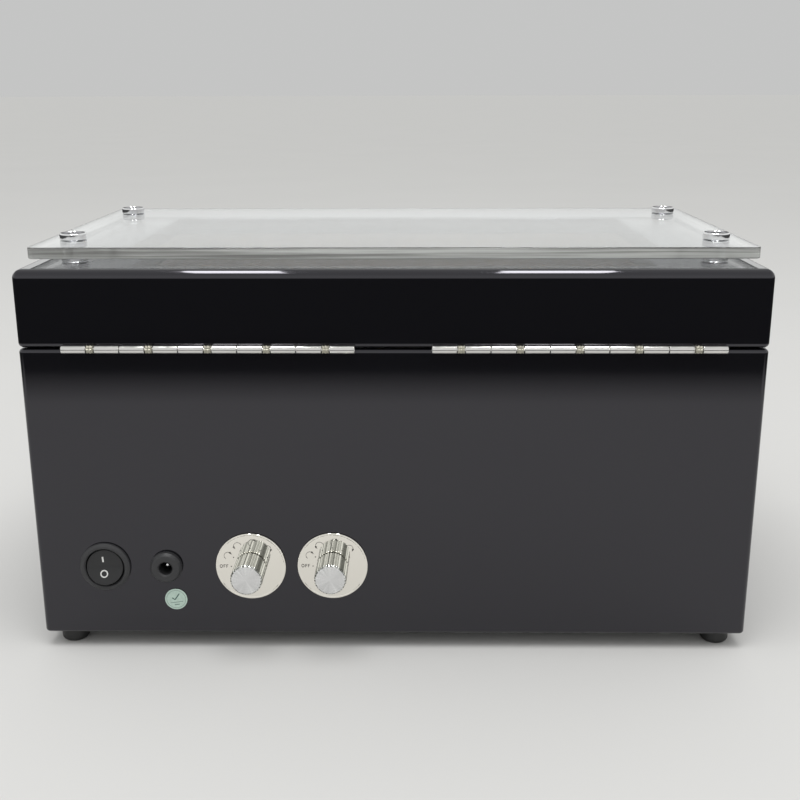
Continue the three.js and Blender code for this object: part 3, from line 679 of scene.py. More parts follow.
# %% Case walls and bottom board
WALL = 9.0
REBATE = 4.0
wall_top, wall_foot = case_high[2], case_low[2]
board_top = low_high("bottom_panel")[1][2] + 0.3
half_width = (case_high[0] - case_low[0]) / 2
half_depth = (case_high[1] - case_low[1]) / 2


def plan_corner(inset):
    """Upright edges have a 2.5 mm radius outside, and the inside corners are nearly square."""
    return np.maximum(2.5 - inset, 0.6)


def walls(name, profile, finish_of, shift=0.0):
    """The closed profile of a wall carried round the case's plan; shift moves the window's edge sideways."""
    points = ringed(half_width, half_depth, profile, plan_corner, centre=(0, MIDDLE_Y))
    far_in = points[..., 0] * 0 + (np.asarray(profile)[:, :1] > 20)
    points[..., 0] -= np.sign(points[..., 0]) * shift * far_in
    rows, columns = points.shape[:2]
    nearest = (np.asarray(profile) + np.roll(profile, -1, axis=0)) / 2
    face_finish = np.repeat([finish_of(inset, z) for inset, z in nearest], columns)
    return new_object(name, points, grid_faces(rows, columns, along=True), WORLD, face_finish)


def back_hole(node, radius, depth, low=-1.0):
    """A cutter through the back wall at a control, from low to depth inside the back face."""
    return drill(radius, -depth, -low, on_back(node), 48)


def hinge_seats(low, high):
    """Cutters for the shallow seats that the hinge leaves lie in."""
    cutters = []
    for side in SIDES:
        leaf_low, leaf_high = low_high(f"hinge_base_leaf_{side}")
        cutters.append(box_object(
            "cutter", (leaf_low[0] - 0.3, leaf_low[1] - 0.3, low), (leaf_high[0] + 0.3, BACK_Y + 4, high)
        ))
    return cutters


case_profile = filleted([
    (0, wall_foot, 1.5), (0, wall_top, 2.0), (WALL, wall_top, 1.2),
    (WALL, board_top), (WALL - REBATE, board_top), (WALL - REBATE, wall_foot, 0.4),
], closed=True)
case = walls("case_walls", case_profile, lambda inset, z: int(inset > WALL - 0.3 and z < wall_top - 1))
carve(case, [
    back_hole("rocker_switch_body", 10.3, 12), back_hole("rocker_switch_body", 13.5, 12, 3),
    back_hole("dc_jack", 5.8, 12), *(back_hole(f"mode_shaft_{side}", 4.7, 12) for side in SIDES),
    *hinge_seats(wall_top - 1.1, wall_top + 5),
])
finish_piece(case, "case", [LACQUER, LINING], ["base_shell"])

panel_low, panel_high = low_high("bottom_panel")
bottom = ringed_block(
    "bottom_board", (panel_high[0] - panel_low[0]) / 2, (panel_high[1] - panel_low[1]) / 2,
    filleted([(0.4, panel_low[2]), (0, panel_low[2] + 0.4), (0, panel_high[2])]), lambda inset: 1.0 + 0 * inset,
    centre=(0, MIDDLE_Y),
)
finish_piece(bottom, "case", BOARD, ["bottom_panel"])
print("the case walls have", len(case.data.polygons), "faces")

# %% [markdown]
# ## The lid
# The same wall profile, with the top turned inwards as a broad rail round the window. Its top edge has the
# biggest radius on the box, about 4 mm, and carries the long white reflections, so it gets the most steps.

# %% Lid frame
CORNERS = ("back_left", "back_right", "front_left", "front_right")
RAIL, RAIL_SHIFT = 40.0, 0.5
STUD_HOLE = 2.3
under = lid_high[2] - WALL


def above_lid(corner):
    """A place at a stud, with z = 0 on the lid's top."""
    return place((*centre_of(f"standoff_cap_{corner}")[:2], lid_high[2]), X_AXIS, Y_AXIS)


lid_profile = filleted([
    (0, lid_low[2], 2.0), (0, lid_high[2], 4.0), (RAIL, lid_high[2], 1.0),
    (RAIL, under, 1.0), (WALL, under, 1.5), (WALL, lid_low[2], 1.0),
], steps=10, closed=True)
lid = walls(
    "lid_frame", lid_profile, lambda inset, z: int(WALL - 0.3 < inset < RAIL - 0.9 and z < under + 0.4),
    shift=RAIL_SHIFT,
)
stud_holes = [drill(STUD_HOLE, -8, 5, above_lid(corner), 24) for corner in CORNERS]
carve(lid, stud_holes + hinge_seats(lid_low[2] - 5, lid_low[2] + 1.1))
finish_piece(lid, "lid", [LACQUER, LINING], ["lid_shell"])

# %% [markdown]
# ## The clear plate and its standoffs
# A 5 mm acrylic sheet stands off the lid on chrome studs. Its edges are flame-polished, with a hair of a
# bevel that glints, so the block is made of rings with a filleted edge and its stud holes are cut right
# through.

# %% Plate, caps and spacers
plate_low, plate_high = low_high("acrylic_plate")
plate_half = (plate_high - plate_low) / 2
plate_profile = filleted([
    (0.6, plate_low[2]), (0, plate_low[2], 0.35), (0, plate_high[2], 0.35), (0.6, plate_high[2]),
], steps=3)
plate = ringed_block(
    "clear_plate", plate_half[0], plate_half[1], plate_profile, lambda inset: 3.0 - inset, steps=8,
    centre=(0, MIDDLE_Y),
)
carve(plate, [drill(STUD_HOLE, -1, 9, above_lid(corner), 40) for corner in CORNERS])
from_middle = rows_of(plate.data.polygons, "center")[:, :2] / MM - (0, MIDDLE_Y)
near_edge = (plate_half[:2] - np.abs(from_middle)).min(axis=1) < 1.0
on_edge = near_edge & (np.abs(rows_of(plate.data.polygons, "normal")[:, 2]) < 0.3)
plate.data.polygons.foreach_set("material_index", on_edge.astype(np.int32))
finish_piece(plate, "lid", [ACRYLIC, CUT_EDGE], ["acrylic_plate"])
print("the clear plate has", int(on_edge.sum()), "faces on its cut edge")

plate_lift = plate_low[2] - lid_high[2]
cap_low = plate_high[2] - lid_high[2] + 0.02
cap_top = low_high("standoff_cap_back_left")[1][2] - lid_high[2]
cap_profile = filleted([
    (0, -7.5), (2.0, -7.5, 0.3), (2.0, cap_low), (5.7, cap_low), (6.0, cap_low + 0.35, 0.2),
    (6.0, cap_top, 0.75), (2.0, cap_top, 1.0), (0, cap_top),
], steps=5)
spacer_profile = filleted([
    (STUD_HOLE, 0.02), (5.9, 0.02), (6.0, 0.15, 0.1), (6.0, plate_lift - 0.15, 0.1), (5.9, plate_lift - 0.02),
    (STUD_HOLE, plate_lift - 0.02),
], closed=True, steps=2)
for corner in CORNERS:
    cap = turned_object(f"plate_cap_{corner}", cap_profile, above_lid(corner), 72)
    finish_piece(cap, "lid", CHROME, [f"standoff_cap_{corner}"])
    spacer = turned_object(f"plate_spacer_{corner}", spacer_profile, above_lid(corner), 72, closed=True)
    finish_piece(spacer, "lid", CHROME, [f"standoff_spacer_{corner}"])
print("the plate stands", round(plate_lift, 2), "mm off the lid")

# %% [markdown]
# ## Hinges
# Two long piano-style hinges join the lid to the case. Each leaf is a thin strip whose edge curls into
# knuckles round a steel pin, and crimped collars space the knuckles. Only the knuckles show while the lid
# is shut, but the leaves, let into the rims with countersunk screws, show when it is open, so both are
# made.

# %% Tools for small fittings
def joined_object(name, parts):
    """Several closed surfaces as one object; a part is an object, or one with the number of its finish."""
    bm = bmesh.new()
    for part in parts:
        obj, finish = part if isinstance(part, tuple) else (part, None)
        mesh = obj.data
        if finish is not None:
            mesh.polygons.foreach_set("material_index", np.full(len(mesh.polygons), finish, np.int32))
        bm.from_mesh(mesh)
        bpy.data.objects.remove(obj)
        bpy.data.meshes.remove(mesh)
    mesh = bpy.data.meshes.new(name)
    bm.to_mesh(mesh)
    bm.free()
    return linked(name, mesh)


def fluted(profile, count, depth, gripped, per_flute=8):
    """Turned points whose radius loses depth (1 + cos(count a)) / 2 wherever gripped(r, z) is 1."""
    points = turned(profile, count * per_flute)
    angle = np.arange(count * per_flute) * (2 * math.pi / (count * per_flute))
    r, z = np.asarray(profile, float).T
    loss = depth * (1 + np.cos(count * angle))[None] / 2 * gripped(r, z)[:, None]
    points[..., :2] *= (1 - loss / np.maximum(r, 1e-6)[:, None])[..., None]
    return points


def screw_head(where, radius=1.9):
    """A countersunk head flush with z = 0, with a cross recess."""
    head = turned_object("head", filleted([
        (0, -1.2), (0.9, -1.2), (radius, -0.15, 0.1), (radius, 0.05, 0.05), (0.6, 0.16, 0.5), (0, 0.16),
    ], steps=3), where, 40)
    arms = [(1.15, 0.22), (0.22, 1.15)]
    return carve(head, [box_object("cutter", (-x, -y, -0.55), (x, y, 1), where) for x, y in arms])


# %% Knuckles, collars and leaves
PAIRS, PITCH, KNUCKLE, COLLAR, SPACE = 5, 25.4, 10.6, 3.0, 0.4
BARREL, BORE, LEAF_REACH = 1.82, 0.95, 9.6
pin_line = np.array(joint("lid_hinge")["pos_m"]) / MM


def along_pin(side):
    """A hinge's place: z along the pin from its first knuckle, x into the case, y up."""
    start = low_high(f"hinge_pin_{side}")[1][0]
    return place((start, pin_line[1], pin_line[2]), -Y_AXIS, Z_AXIS)


def knuckle(span, where):
    """A short tube with rounded ends: the rolled edge of a leaf."""
    low, high = span
    profile = filleted([(BORE, low), (BARREL, low, 0.22), (BARREL, high, 0.22), (BORE, high)], 4, closed=True)
    return turned_object("knuckle", profile, where, 40, closed=True)


def collar(span, where):
    """A crimped spacer: two ridges round it, and 9 pinches that make each ridge a row of bumps."""
    low, high = span
    z = np.linspace(low + 0.05, high - 0.05, 17)
    ridge = BARREL - 0.16 + 0.14 * np.cos(np.linspace(-2, 2, 17) * math.pi)
    profile = [(0.7, low + 0.05), *zip(ridge, z), (0.7, high - 0.05)]
    points = fluted(profile, 9, 0.34, lambda r, z: (r > 1.0) * 1.0)
    rows, columns = points.shape[:2]
    return new_object("collar", points, grid_faces(rows, columns, along=True), where)


def leaf(side, up, start, where):
    """A strip beside the parting plane, above it for up = 1, with a tongue into each of its knuckles."""
    near, far = sorted((up * 0.21, up * 1.0))
    length = PAIRS * PITCH - SPACE
    strip = box_object("strip", (BARREL + 0.6, near, 0), (LEAF_REACH, far, length), where)
    parts = [bevelled(strip, 0.18)]
    for i in range(PAIRS):
        span = (i * PITCH + start, i * PITCH + start + KNUCKLE)
        parts += [knuckle(span, where), box_object("tongue", (0.9, near, span[0]), (3, far, span[1]), where)]
    face = place(where[0] + up * 0.2 * Z_AXIS + (LEAF_REACH + BARREL) / 2 * where[1][0], X_AXIS, -up * Y_AXIS)
    for along in (0.1, 0.5, 0.9):
        parts.append(screw_head((face[0] + along * length * where[1][2], face[1])))
    return joined_object(f"hinge_strip_{'upper' if up > 0 else 'lower'}_{side}", parts)


for side in SIDES:
    where = along_pin(side)
    finish_piece(leaf(side, 1, 0, where), "lid", NICKEL, [f"hinge_lid_leaf_{side}"], 40)
    second = KNUCKLE + COLLAR + 2 * SPACE
    finish_piece(leaf(side, -1, second, where), "case", NICKEL, [f"hinge_base_leaf_{side}"], 40)
    rod_end = PAIRS * PITCH - 0.5
    rod_profile = filleted([(0, 0.1), (0.75, 0.1, 0.3), (0.75, rod_end, 0.3), (0, rod_end)], 4)
    parts = [(turned_object("rod", rod_profile, where, 24), 0)]
    for i in range(PAIRS):
        first = i * PITCH + KNUCKLE + SPACE
        parts.append((collar((first, first + COLLAR), where), 1))
    pin = joined_object(f"hinge_rod_{side}", parts)
    finish_piece(pin, "case", [NICKEL, CRIMPED], [f"hinge_pin_{side}"], 60)
print("each hinge has", PAIRS, "pairs of knuckles")

# %% [markdown]
# ## Feet
# Stick-on rubber bumpers: a straight side, a generous rounding, and a flat tread. One profile turned round.

# %% Feet
for corner in CORNERS:
    low, high = low_high(f"foot_{corner}")
    radius, height = (high[0] - low[0]) / 2, high[2] - low[2]
    profile = filleted([(0, 0), (4.6, 0, 0.5), (radius, 0.4, 2.2), (radius, height, 0.4), (0, height)], 8)
    profile[profile[:, 1] < 0.01, 1] = 0
    tread = place((*((low + high) / 2)[:2], 0), X_AXIS, Y_AXIS)
    foot = turned_object(f"foot_bumper_{corner}", profile, tread, 96)
    finish_piece(foot, "case", FOOT_RUBBER, [f"foot_{corner}"])

# %% [markdown]
# ## Rocker switch
# A round snap-in switch. The bezel is a turned ring with a broad flat and a deep cup for the paddle, and
# the paddle is a ball cut by a shallow valley. It could be cut with a boolean, but then its edge would be
# sharp, so it is one grid instead: out along the valley, round a small radius, and down the ball. The marks
# for on and off are thin strokes that lie on the same valley formula.

# %% Strokes of print
def stroke(line, width, surface, where, closed=False, thick=0.05):
    """A flat line of print: half the width to each side of a centreline, its top thick above surface(x, y)."""
    line = np.asarray(line, float)
    width = np.broadcast_to(np.asarray(width, float), len(line))[:, None]
    ahead = (np.roll(line, -1, 0) - np.roll(line, 1, 0)) if closed else np.gradient(line, axis=0)
    ahead = ahead / np.maximum(np.linalg.norm(ahead, axis=1, keepdims=True), 1e-9)
    aside = np.column_stack([-ahead[:, 1], ahead[:, 0]]) * width / 2
    rows = []
    for step, lift in ((aside, -thick), (aside, thick), (-aside, thick), (-aside, -thick)):
        edge = line + step
        rows.append(np.column_stack([edge, surface(edge[:, 0], edge[:, 1]) + lift]))
    points, count = np.stack(rows), len(line)
    faces = grid_faces(4, count, around=closed, along=True)
    if not closed:
        faces += [[0, count, 2 * count, 3 * count], [4 * count - 1, 3 * count - 1, 2 * count - 1, count - 1]]
    return new_object("stroke", points, faces, where)


def arc_line(centre, radius, start, end, count=24):
    """Points of an arc between two angles in degrees; radius may be a pair for an ellipse."""
    angle = np.radians(np.linspace(start, end, count))
    rx, ry = np.broadcast_to(radius, 2)
    return np.column_stack([centre[0] + rx * np.cos(angle), centre[1] + ry * np.sin(angle)])


def loop_line(centre, radius, count=48):
    return arc_line(centre, radius, 0, 360, count + 1)[:-1]


def flat_at(height):
    return lambda x, y: np.full_like(x, height)


# %% Bezel, paddle and marks
tilt = joint("rocker_tilt")
tilt_axis = np.array(tilt["axis"], float)
tilt_axis *= -np.sign(tilt_axis[0])
switch_centre = np.array(tilt["pos_m"]) / MM
rocker_place = place((switch_centre[0], BACK_Y, switch_centre[2]), tilt_axis, np.cross(Y_AXIS, tilt_axis))
PRESSED = math.radians(tilt["range_deg"][1] / 2)
BALL, BALL_EDGE, BALL_LOW = 8.5, 0.45, -5


def paddle_place():
    """The switch's place moved to the pivot and turned about its x, so that the upper half is pressed in."""
    axes = rocker_place[1]
    up = math.cos(PRESSED) * axes[1] - math.sin(PRESSED) * axes[2]
    return place(switch_centre, axes[0], up)


def valley(x, y):
    """Height of the paddle's face, the same for every x: 1.1 in the middle, softly bent, and 2.0 at y = 9."""
    return 1.1 + 0.9 * (np.sqrt(y ** 2 + 0.8) - math.sqrt(0.8)) / (math.sqrt(81.8) - math.sqrt(0.8))


def paddle_points(columns=96):
    """Rows out from the centre over the valley, round its edge, and down the ball to a flat underside."""
    angle = np.arange(columns) * (2 * math.pi / columns)
    edge_z = valley(0, 8 * np.sin(angle))
    edge_r = np.sqrt(BALL ** 2 - edge_z ** 2)
    rows = []
    for t in np.linspace(0, 1, 14):
        r = t * (edge_r - BALL_EDGE)
        rows.append((r, valley(0, r * np.sin(angle))))
    for bend in np.linspace(0, math.pi / 2, 7)[1:]:
        out, down = 1 - math.sin(bend), 1 - math.cos(bend)
        rows.append((edge_r - BALL_EDGE * out, edge_z - BALL_EDGE * down))
    for t in np.linspace(0, 1, 10)[1:]:
        z = (1 - t) * (edge_z - BALL_EDGE) + BALL_LOW * t
        rows.append((np.minimum(np.sqrt(BALL ** 2 - z ** 2), edge_r + t), z))
    rows.append((0 * angle, 0 * angle + BALL_LOW))
    return np.stack([np.stack([r * np.cos(angle), r * np.sin(angle), z], -1) for r, z in rows])


bezel_profile = filleted([
    (0, -18), (9.9, -18, 0.5), (9.9, 0.05), (11.5, 0.05), (11.5, 1.35, 0.5), (10.2, 2.2, 1.2), (9.4, 2.2, 0.5),
    (8.85, 1.5, 0.3), (8.75, -9), (0, -9),
], steps=6)
parts = [(turned_object("bezel", bezel_profile, rocker_place, 128), 0)]
for y in (-6, 0, 6):
    blade = box_object("blade", (-2.4, y - 0.4, -26), (2.4, y + 0.4, -17), rocker_place)
    parts.append((bevelled(blade, 0.15), 1))
bezel = joined_object("rocker_bezel", parts)
finish_piece(bezel, "case", [SATIN_NYLON, NICKEL], ["rocker_switch_body"])

points = paddle_points()
paddle = new_object("rocker_button", points, grid_faces(*points.shape[:2]), paddle_place())
finish_piece(paddle, "rocker", BLACK_NYLON, ["rocker_paddle"])
marks = joined_object("rocker_marks", [
    stroke(np.column_stack([np.full(8, -0.45), np.linspace(2.45, 4.95, 8)]), 0.75, valley, paddle_place()),
    stroke(loop_line((-0.5, -3.05), 1.52), 0.58, valley, paddle_place(), closed=True),
])
finish_piece(marks, "rocker", WHITE_INK, [])
print("the rocker turns through", tilt["range_deg"][1], "degrees")

# %% [markdown]
# ## Supply socket
# A black panel socket with a flat collar. The contact pin stands in its bore, and its tip catches a glint
# of light. The outside, the bore and the bottom are one turned profile, and the pin is a second one in
# bright metal.

# %% Socket
jack_place = on_back("dc_jack")
jack_profile = filleted([
    (0, -20), (5.5, -20, 0.4), (5.5, 0.05), (7.25, 0.05), (7.25, 2.0, 0.25), (6.2, 3.55, 0.9), (3.75, 3.6, 0.2),
    (3.05, 3.0, 0.3), (3.05, -12), (0, -12),
], steps=5)
pin_profile = filleted([(0, -11.9), (1.0, -11.9), (1.0, -1.1, 0.6), (0, -1.1)], 5)
socket = joined_object("supply_socket", [
    (turned_object("body", jack_profile, jack_place, 96), 0),
    (turned_object("contact", pin_profile, jack_place, 32), 1),
])
finish_piece(socket, "case", [SATIN_NYLON, CHROME], ["dc_jack"])

# %% [markdown]
# ## Mode switches
# Each rotary switch has a printed metal dial and a fluted knob. The dial is polished, so the knob stands on
# its own reflection. The flutes are a cosine in the angle, which thins the radius by half a millimetre. A
# texture could fake them, but the outline against the pale dial would stay round, and the flutes wouldn't
# draw their light and dark streaks. The grip's finish paints further streaks of shade and highlight on top,
# and the face's finish paints its fans of reflection as darker rays. The dial's arrows show the ways to turn,
# and its dots are the stops.

# %% Dials
DIAL_RADIUS, DIAL_TOP = 16.0, 1.1
ARROW_RING, STOP_RING = 11.5, 8.9


def on_ring(radius, degrees):
    """The point of a ring round the dial's centre at an angle."""
    return radius * math.cos(math.radians(degrees)), radius * math.sin(math.radians(degrees))


def letter_strokes(start, size, surface, where, width=0.28):
    """The word OFF: an oval and two letters of three straight strokes, size high, beginning at start."""
    x, y = start
    oval = loop_line((x + 0.42 * size, y), (0.4 * size, 0.48 * size), 32)
    strokes = [stroke(oval, width, surface, where, closed=True)]
    for step in (1.25, 2.1):
        left, top = x + step * size, y + 0.47 * size
        strokes += [
            stroke([(left, y - size / 2), (left, y + size / 2)], width, surface, where),
            stroke([(left, top), (left + 0.55 * size, top)], width * 0.8, surface, where),
            stroke([(left, y), (left + 0.45 * size, y)], width * 0.8, surface, where),
        ]
    return strokes


def turn_arrow(degrees, start, end, surface, where, count=30, head=7):
    """An arc from start to end with an arrowhead, round the point of the arrow ring at the given angle."""
    line = arc_line(on_ring(ARROW_RING, degrees), 1.75, start, end, count)
    width = np.full(count, 0.2)
    width[-head:] = np.linspace(0.95, 0.04, head)
    return stroke(line, width, surface, where)


def dial(side):
    where = on_back(f"mode_shaft_{side}")
    profile = filleted([
        (3.4, 0.32), (DIAL_RADIUS, 0.32, 0.1), (DIAL_RADIUS, DIAL_TOP + 0.02, 0.3),
        (15.3, DIAL_TOP + 0.02, 0.15), (15.1, DIAL_TOP - 0.06, 0.1), (3.4, DIAL_TOP - 0.06),
    ], 4, closed=True)
    disc = turned_object("disc", profile, where, 160, closed=True)
    low_face = flat_at(DIAL_TOP - 0.05)
    prints = letter_strokes((-14.1, 0.15), 1.45, low_face, where)
    for degrees, start, end in ((153, 235, 20), (120, 20, 235), (85, 235, 20), (48, 160, -50)):
        prints.append(turn_arrow(degrees, start, end, low_face, where))
    for stop in (180, 150, 120, 90, 60, 30):
        dot = loop_line(on_ring(STOP_RING, stop), 0.14, 12)
        prints.append(stroke(dot, 0.27, low_face, where, closed=True))
    plate = joined_object(f"mode_dial_{side}", [(disc, 0)] + [(part, 1) for part in prints])
    metal = spun(f"dial_metal_{side}", where[0], (0.90, 0.87, 0.80), 0.05, rings=1500.0, depth=0.0008)
    return finish_piece(plate, "case", [metal, DARK_INK], [f"dial_plate_{side}"])


# %% Knobs
FLUTES, FLUTE_DEPTH, FLUTED_FROM = 36, 0.5, 6.95
KNOB_PROFILE = filleted([
    (0, 11.9), (3.2, 11.9), (3.2, 1.7), (6.7, 1.7, 0.2), (7.2, 2.2, 0.15), (7.2, 15.4, 0.12),
    (6.85, 15.75, 0.08), (6.85, 15.9, 0.06), (6.45, 16.3, 0.08), (0, 16.3),
], steps=4)


def knob(side):
    where = on_back(f"mode_shaft_{side}")
    points = fluted(KNOB_PROFILE, FLUTES, FLUTE_DEPTH, lambda r, z: (r > FLUTED_FROM) * 1.0)
    rows, columns = points.shape[:2]
    radius, height = np.minimum(KNOB_PROFILE[:-1], KNOB_PROFILE[1:]).T
    on_face = (radius < 6.3) & (height > 16.2)
    face_finish = np.repeat(on_face.astype(int), columns)
    body = new_object(f"mode_grip_{side}", points, grid_faces(rows, columns), where, face_finish)
    # The face's finish paints darker rays as fans of reflection, and the grip's finish paints streaks of shade
    # and highlight.
    face = spun(f"knob_face_{side}", where[0], (0.84, 0.84, 0.84), 0.26, rings=6000.0, depth=0.006, rays=0.22)
    grip = painted_streak_metal(f"knob_grip_{side}", where[0])
    return finish_piece(body, f"mode_knob_{side}", [grip, face], [f"mode_knob_{side}"], 30)


for side in SIDES:
    dial(side)
    knob(side)
print("two dials and two knobs, with", FLUTES, "flutes each")

# %% [markdown]
# ## Inspection sticker
# A small round label, pale green, with a printed ring, a tick and two rules. It is thin, but it has real
# thickness and a softly rounded edge, because a flat decal would not catch a line of light round its rim.

# %% Sticker
label_place = on_back("inspection_sticker", math.radians(8))
LABEL_RADIUS, LABEL_TOP = 5.15, 0.5
label_profile = filleted([(0, 0.28), (LABEL_RADIUS, 0.28), (LABEL_RADIUS, LABEL_TOP, 0.1), (0, LABEL_TOP)], 3)
tick = [(-1.7, 0.9), (-0.6, -0.2), (1.9, 2.5)]
ink_lines = [
    (loop_line((0, 0), 4.35, 64), 0.12, True), (tick[:2], 0.5, False), (tick[1:], 0.5, False),
    ([(-2.9, -1.5), (2.9, -1.5)], 0.2, False), ([(-1.2, -2.7), (1.2, -2.7)], 0.3, False),
]
parts = [(turned_object("disc", label_profile, label_place, 96), 0)]
for line, width, closed in ink_lines:
    parts.append((stroke(line, width, flat_at(LABEL_TOP), label_place, closed, thick=0.015), 1))
label = joined_object("sticker_disc", parts)
finish_piece(label, "case", [STICKER_STOCK, STICKER_INK], ["inspection_sticker"])

# %% [markdown]
# ## The lined deck
# Inside, a bent board covered in microfibre makes a front ledge, a slope and a back shelf, with a round
# opening for each turntable. It is one outline carried along x. The cloth turns over the edge of each
# opening as a welt, a cord under the fabric, which hides the cut and softens the rim.

# %% Deck outline, openings and welts
SLOPE_HALF, DECK_THICK, OPENING = 65.0, 6.0, 61.0
slope_origin, slope_axes = on_slope("left")
up_slope = slope_axes[1]
deck_low, deck_high = low_high("turntable_deck")


def deck_outline():
    """(y, z) corners: along the top from the front edge, then back under it one board's thickness lower."""
    front = slope_origin - SLOPE_HALF * up_slope
    back = slope_origin + SLOPE_HALF * up_slope
    mitre = DECK_THICK * math.tan(math.acos(slope_axes[2][2]) / 2)
    low_edge, high_edge = front[2] - DECK_THICK, back[2] - DECK_THICK
    return filleted([
        (deck_low[1], front[2], 0.8), (deck_low[1], low_edge, 0.8), (front[1] + mitre, low_edge, 1),
        (back[1] + mitre, high_edge, 1), (deck_high[1], high_edge, 0.8), (deck_high[1], back[2], 0.8),
        (back[1], back[2], 2.5), (front[1], front[2], 2.5),
    ], steps=6, closed=True)


along_x = place((0, 0, 0), Y_AXIS, Z_AXIS)
deck = extruded("lined_deck", deck_outline(), (deck_low[0], deck_high[0]), along_x)
carve(deck, [drill(OPENING, -30, 30, on_slope(side), 128) for side in SIDES])
WELT = 1.25
parts = [(deck, 0)]
for side in SIDES:
    around = np.linspace(0, 2 * math.pi, 17)[:-1]
    section = np.column_stack([OPENING + 1.0 + WELT * np.cos(around), 0.35 + WELT * np.sin(around)])
    parts.append((turned_object("welt", section, on_slope(side), 160, closed=True), 0))
deck = joined_object("lined_deck_board", parts)
finish_piece(deck, "case", LINING, ["turntable_deck"], 40)

# %% [markdown]
# ## Turntables
# Each drum lies flush with the slope and has two pockets. The mouths of the pockets are padded and rounded,
# so the cutter for a pocket is drawn as rings that flare at the top. Cutting with a flared tool rounds the
# rim and the pocket in one step, which a bevel after a plain cut would struggle to do on a curve.

# %% Drums
DRUM_RADIUS, DRUM_DEPTH = 59.0, 38.0
POCKET_X, POCKET_HALF, POCKET_DEPTH = 25.0, (22.5, 34.0), 31.0
AXLE_HOLE = 4.3
drum_profile = filleted([
    (0, -41), (9, -41, 0.5), (9, -DRUM_DEPTH), (DRUM_RADIUS, -DRUM_DEPTH, 1.0), (DRUM_RADIUS, 0, 2.2), (0, 0),
], steps=8)
pocket_rings = filleted([
    (2.0, -POCKET_DEPTH), (0, -POCKET_DEPTH + 2, 1), (0, 0, 1.8), (-1.81, 0), (-1.81, 4),
], steps=8)
for side in SIDES:
    where = on_slope(side)
    drum = turned_object(f"turntable_drum_{side}", drum_profile, where, 144)
    cutters = [
        ringed_block("cutter", *POCKET_HALF, pocket_rings, lambda inset: 10 - inset, where, 10, (x, 0))
        for x in (-POCKET_X, POCKET_X)
    ]
    cutters.append(drill(AXLE_HOLE, -50, -32.7, where, 32))
    carve(drum, cutters)
    finish_piece(drum, f"turntable_{side}", LINING, [f"turntable_{side}"], 40)
print("two drums, each with two pockets")

# %% [markdown]
# ## Watch cushions
# A watch is strapped round a soft cushion, and the cushion is pressed into a pocket. The foam is cut square
# and the cover is sewn a little tight, so the faces crown and the edges stay firm. That comes from a cloth
# simulation with pressure inside. It runs once, because all four cushions are alike, and the result is
# copied to each pocket. The welt seam and the stitches are added afterwards, where the finished surface is,
# or the remesh would eat them.

# %% One simulated cushion
CUSHION_LOW, CUSHION_TOP = -30.5, 20.5
CUSHION_HALF = np.array([21.7, 33.2])
SWELL_CAP, SWELL_FRAMES = 3.0, 20


def foam_block():
    """Rings of a rounded rectangle whose edges, top and bottom, have radii of 11 and 5."""
    rings = filleted([
        (17, CUSHION_LOW + 2), (0, CUSHION_LOW + 2, 5), (0, CUSHION_TOP - 1.5, 11), (17, CUSHION_TOP - 1.5),
    ], steps=8)
    half = CUSHION_HALF - 1.6
    return ringed_block("foam", *half, rings, lambda inset: np.maximum(9 - inset * 0.5, 1.0), steps=8)


def inflate(obj):
    """Remeshes the foam, swells it as cloth under pressure, and caps how far each point moves."""
    remesh = obj.modifiers.new("remesh", "REMESH")
    remesh.mode = "VOXEL"
    remesh.voxel_size = 4.0 * MM
    settle(obj)
    start = rows_of(obj.data.vertices, "co")
    cloth = obj.modifiers.new("cloth", "CLOTH")
    cloth.settings.use_pressure = True
    cloth.settings.uniform_pressure_force = 4.0
    cloth.settings.effector_weights.gravity = 0.0
    cloth.settings.tension_stiffness = cloth.settings.compression_stiffness = 18.0
    cloth.point_cache.frame_start, cloth.point_cache.frame_end = 1, SWELL_FRAMES
    for number in range(1, SWELL_FRAMES + 1):
        scene.frame_set(number)
    settle(obj)
    move = rows_of(obj.data.vertices, "co") - start
    length = np.linalg.norm(move, axis=1, keepdims=True)
    print("cloth moved the cover by up to", round(float(length.max()) / MM, 2), "mm")
    capped = start + move * np.minimum(1, SWELL_CAP * MM / np.maximum(length, 1e-9))
    scene.frame_set(1)
    return capped


foam = foam_block()
cover = inflate(foam)
cover_low, cover_high = cover.min(0), cover.max(0)
target_low = np.array([*-CUSHION_HALF, CUSHION_LOW]) * MM
target_high = np.array([*CUSHION_HALF, CUSHION_TOP]) * MM
cover = target_low + (cover - cover_low) / (cover_high - cover_low) * (target_high - target_low)
foam.data.vertices.foreach_set("co", cover.reshape(-1))
subdivision = foam.modifiers.new("subdivision", "SUBSURF")
subdivision.levels = subdivision.render_levels = 1
settle(foam)
print("the cushion's cover has", len(foam.data.polygons), "faces")

# %% Seams and stitches on the cover
SEAM_Z, STITCH_GAP = 7.5, 2.6
surface = BVHTree.FromPolygons(
    [v.co for v in foam.data.vertices], [tuple(p.vertices) for p in foam.data.polygons]
)


def seam_line(height, count=240):
    """Where rays towards the middle, at this height, meet the cover: points in millimetres, and normals."""
    angle = np.arange(count) * (2 * math.pi / count)
    hits = []
    for x, y in zip(60 * np.cos(angle), 60 * np.sin(angle)):
        origin = Vector((x, y, height)) * MM
        point, normal, _, _ = surface.ray_cast(origin, Vector((-x, -y, 0)).normalized())
        hits.append((*(point / MM), *normal))
    hits = np.array(hits)
    return hits[:, :3], hits[:, 3:]


def unit(vectors):
    return vectors / np.linalg.norm(vectors, axis=1, keepdims=True)


def heading(line):
    """The unit direction of a closed line at each of its points."""
    return unit(np.roll(line, -1, 0) - np.roll(line, 1, 0))


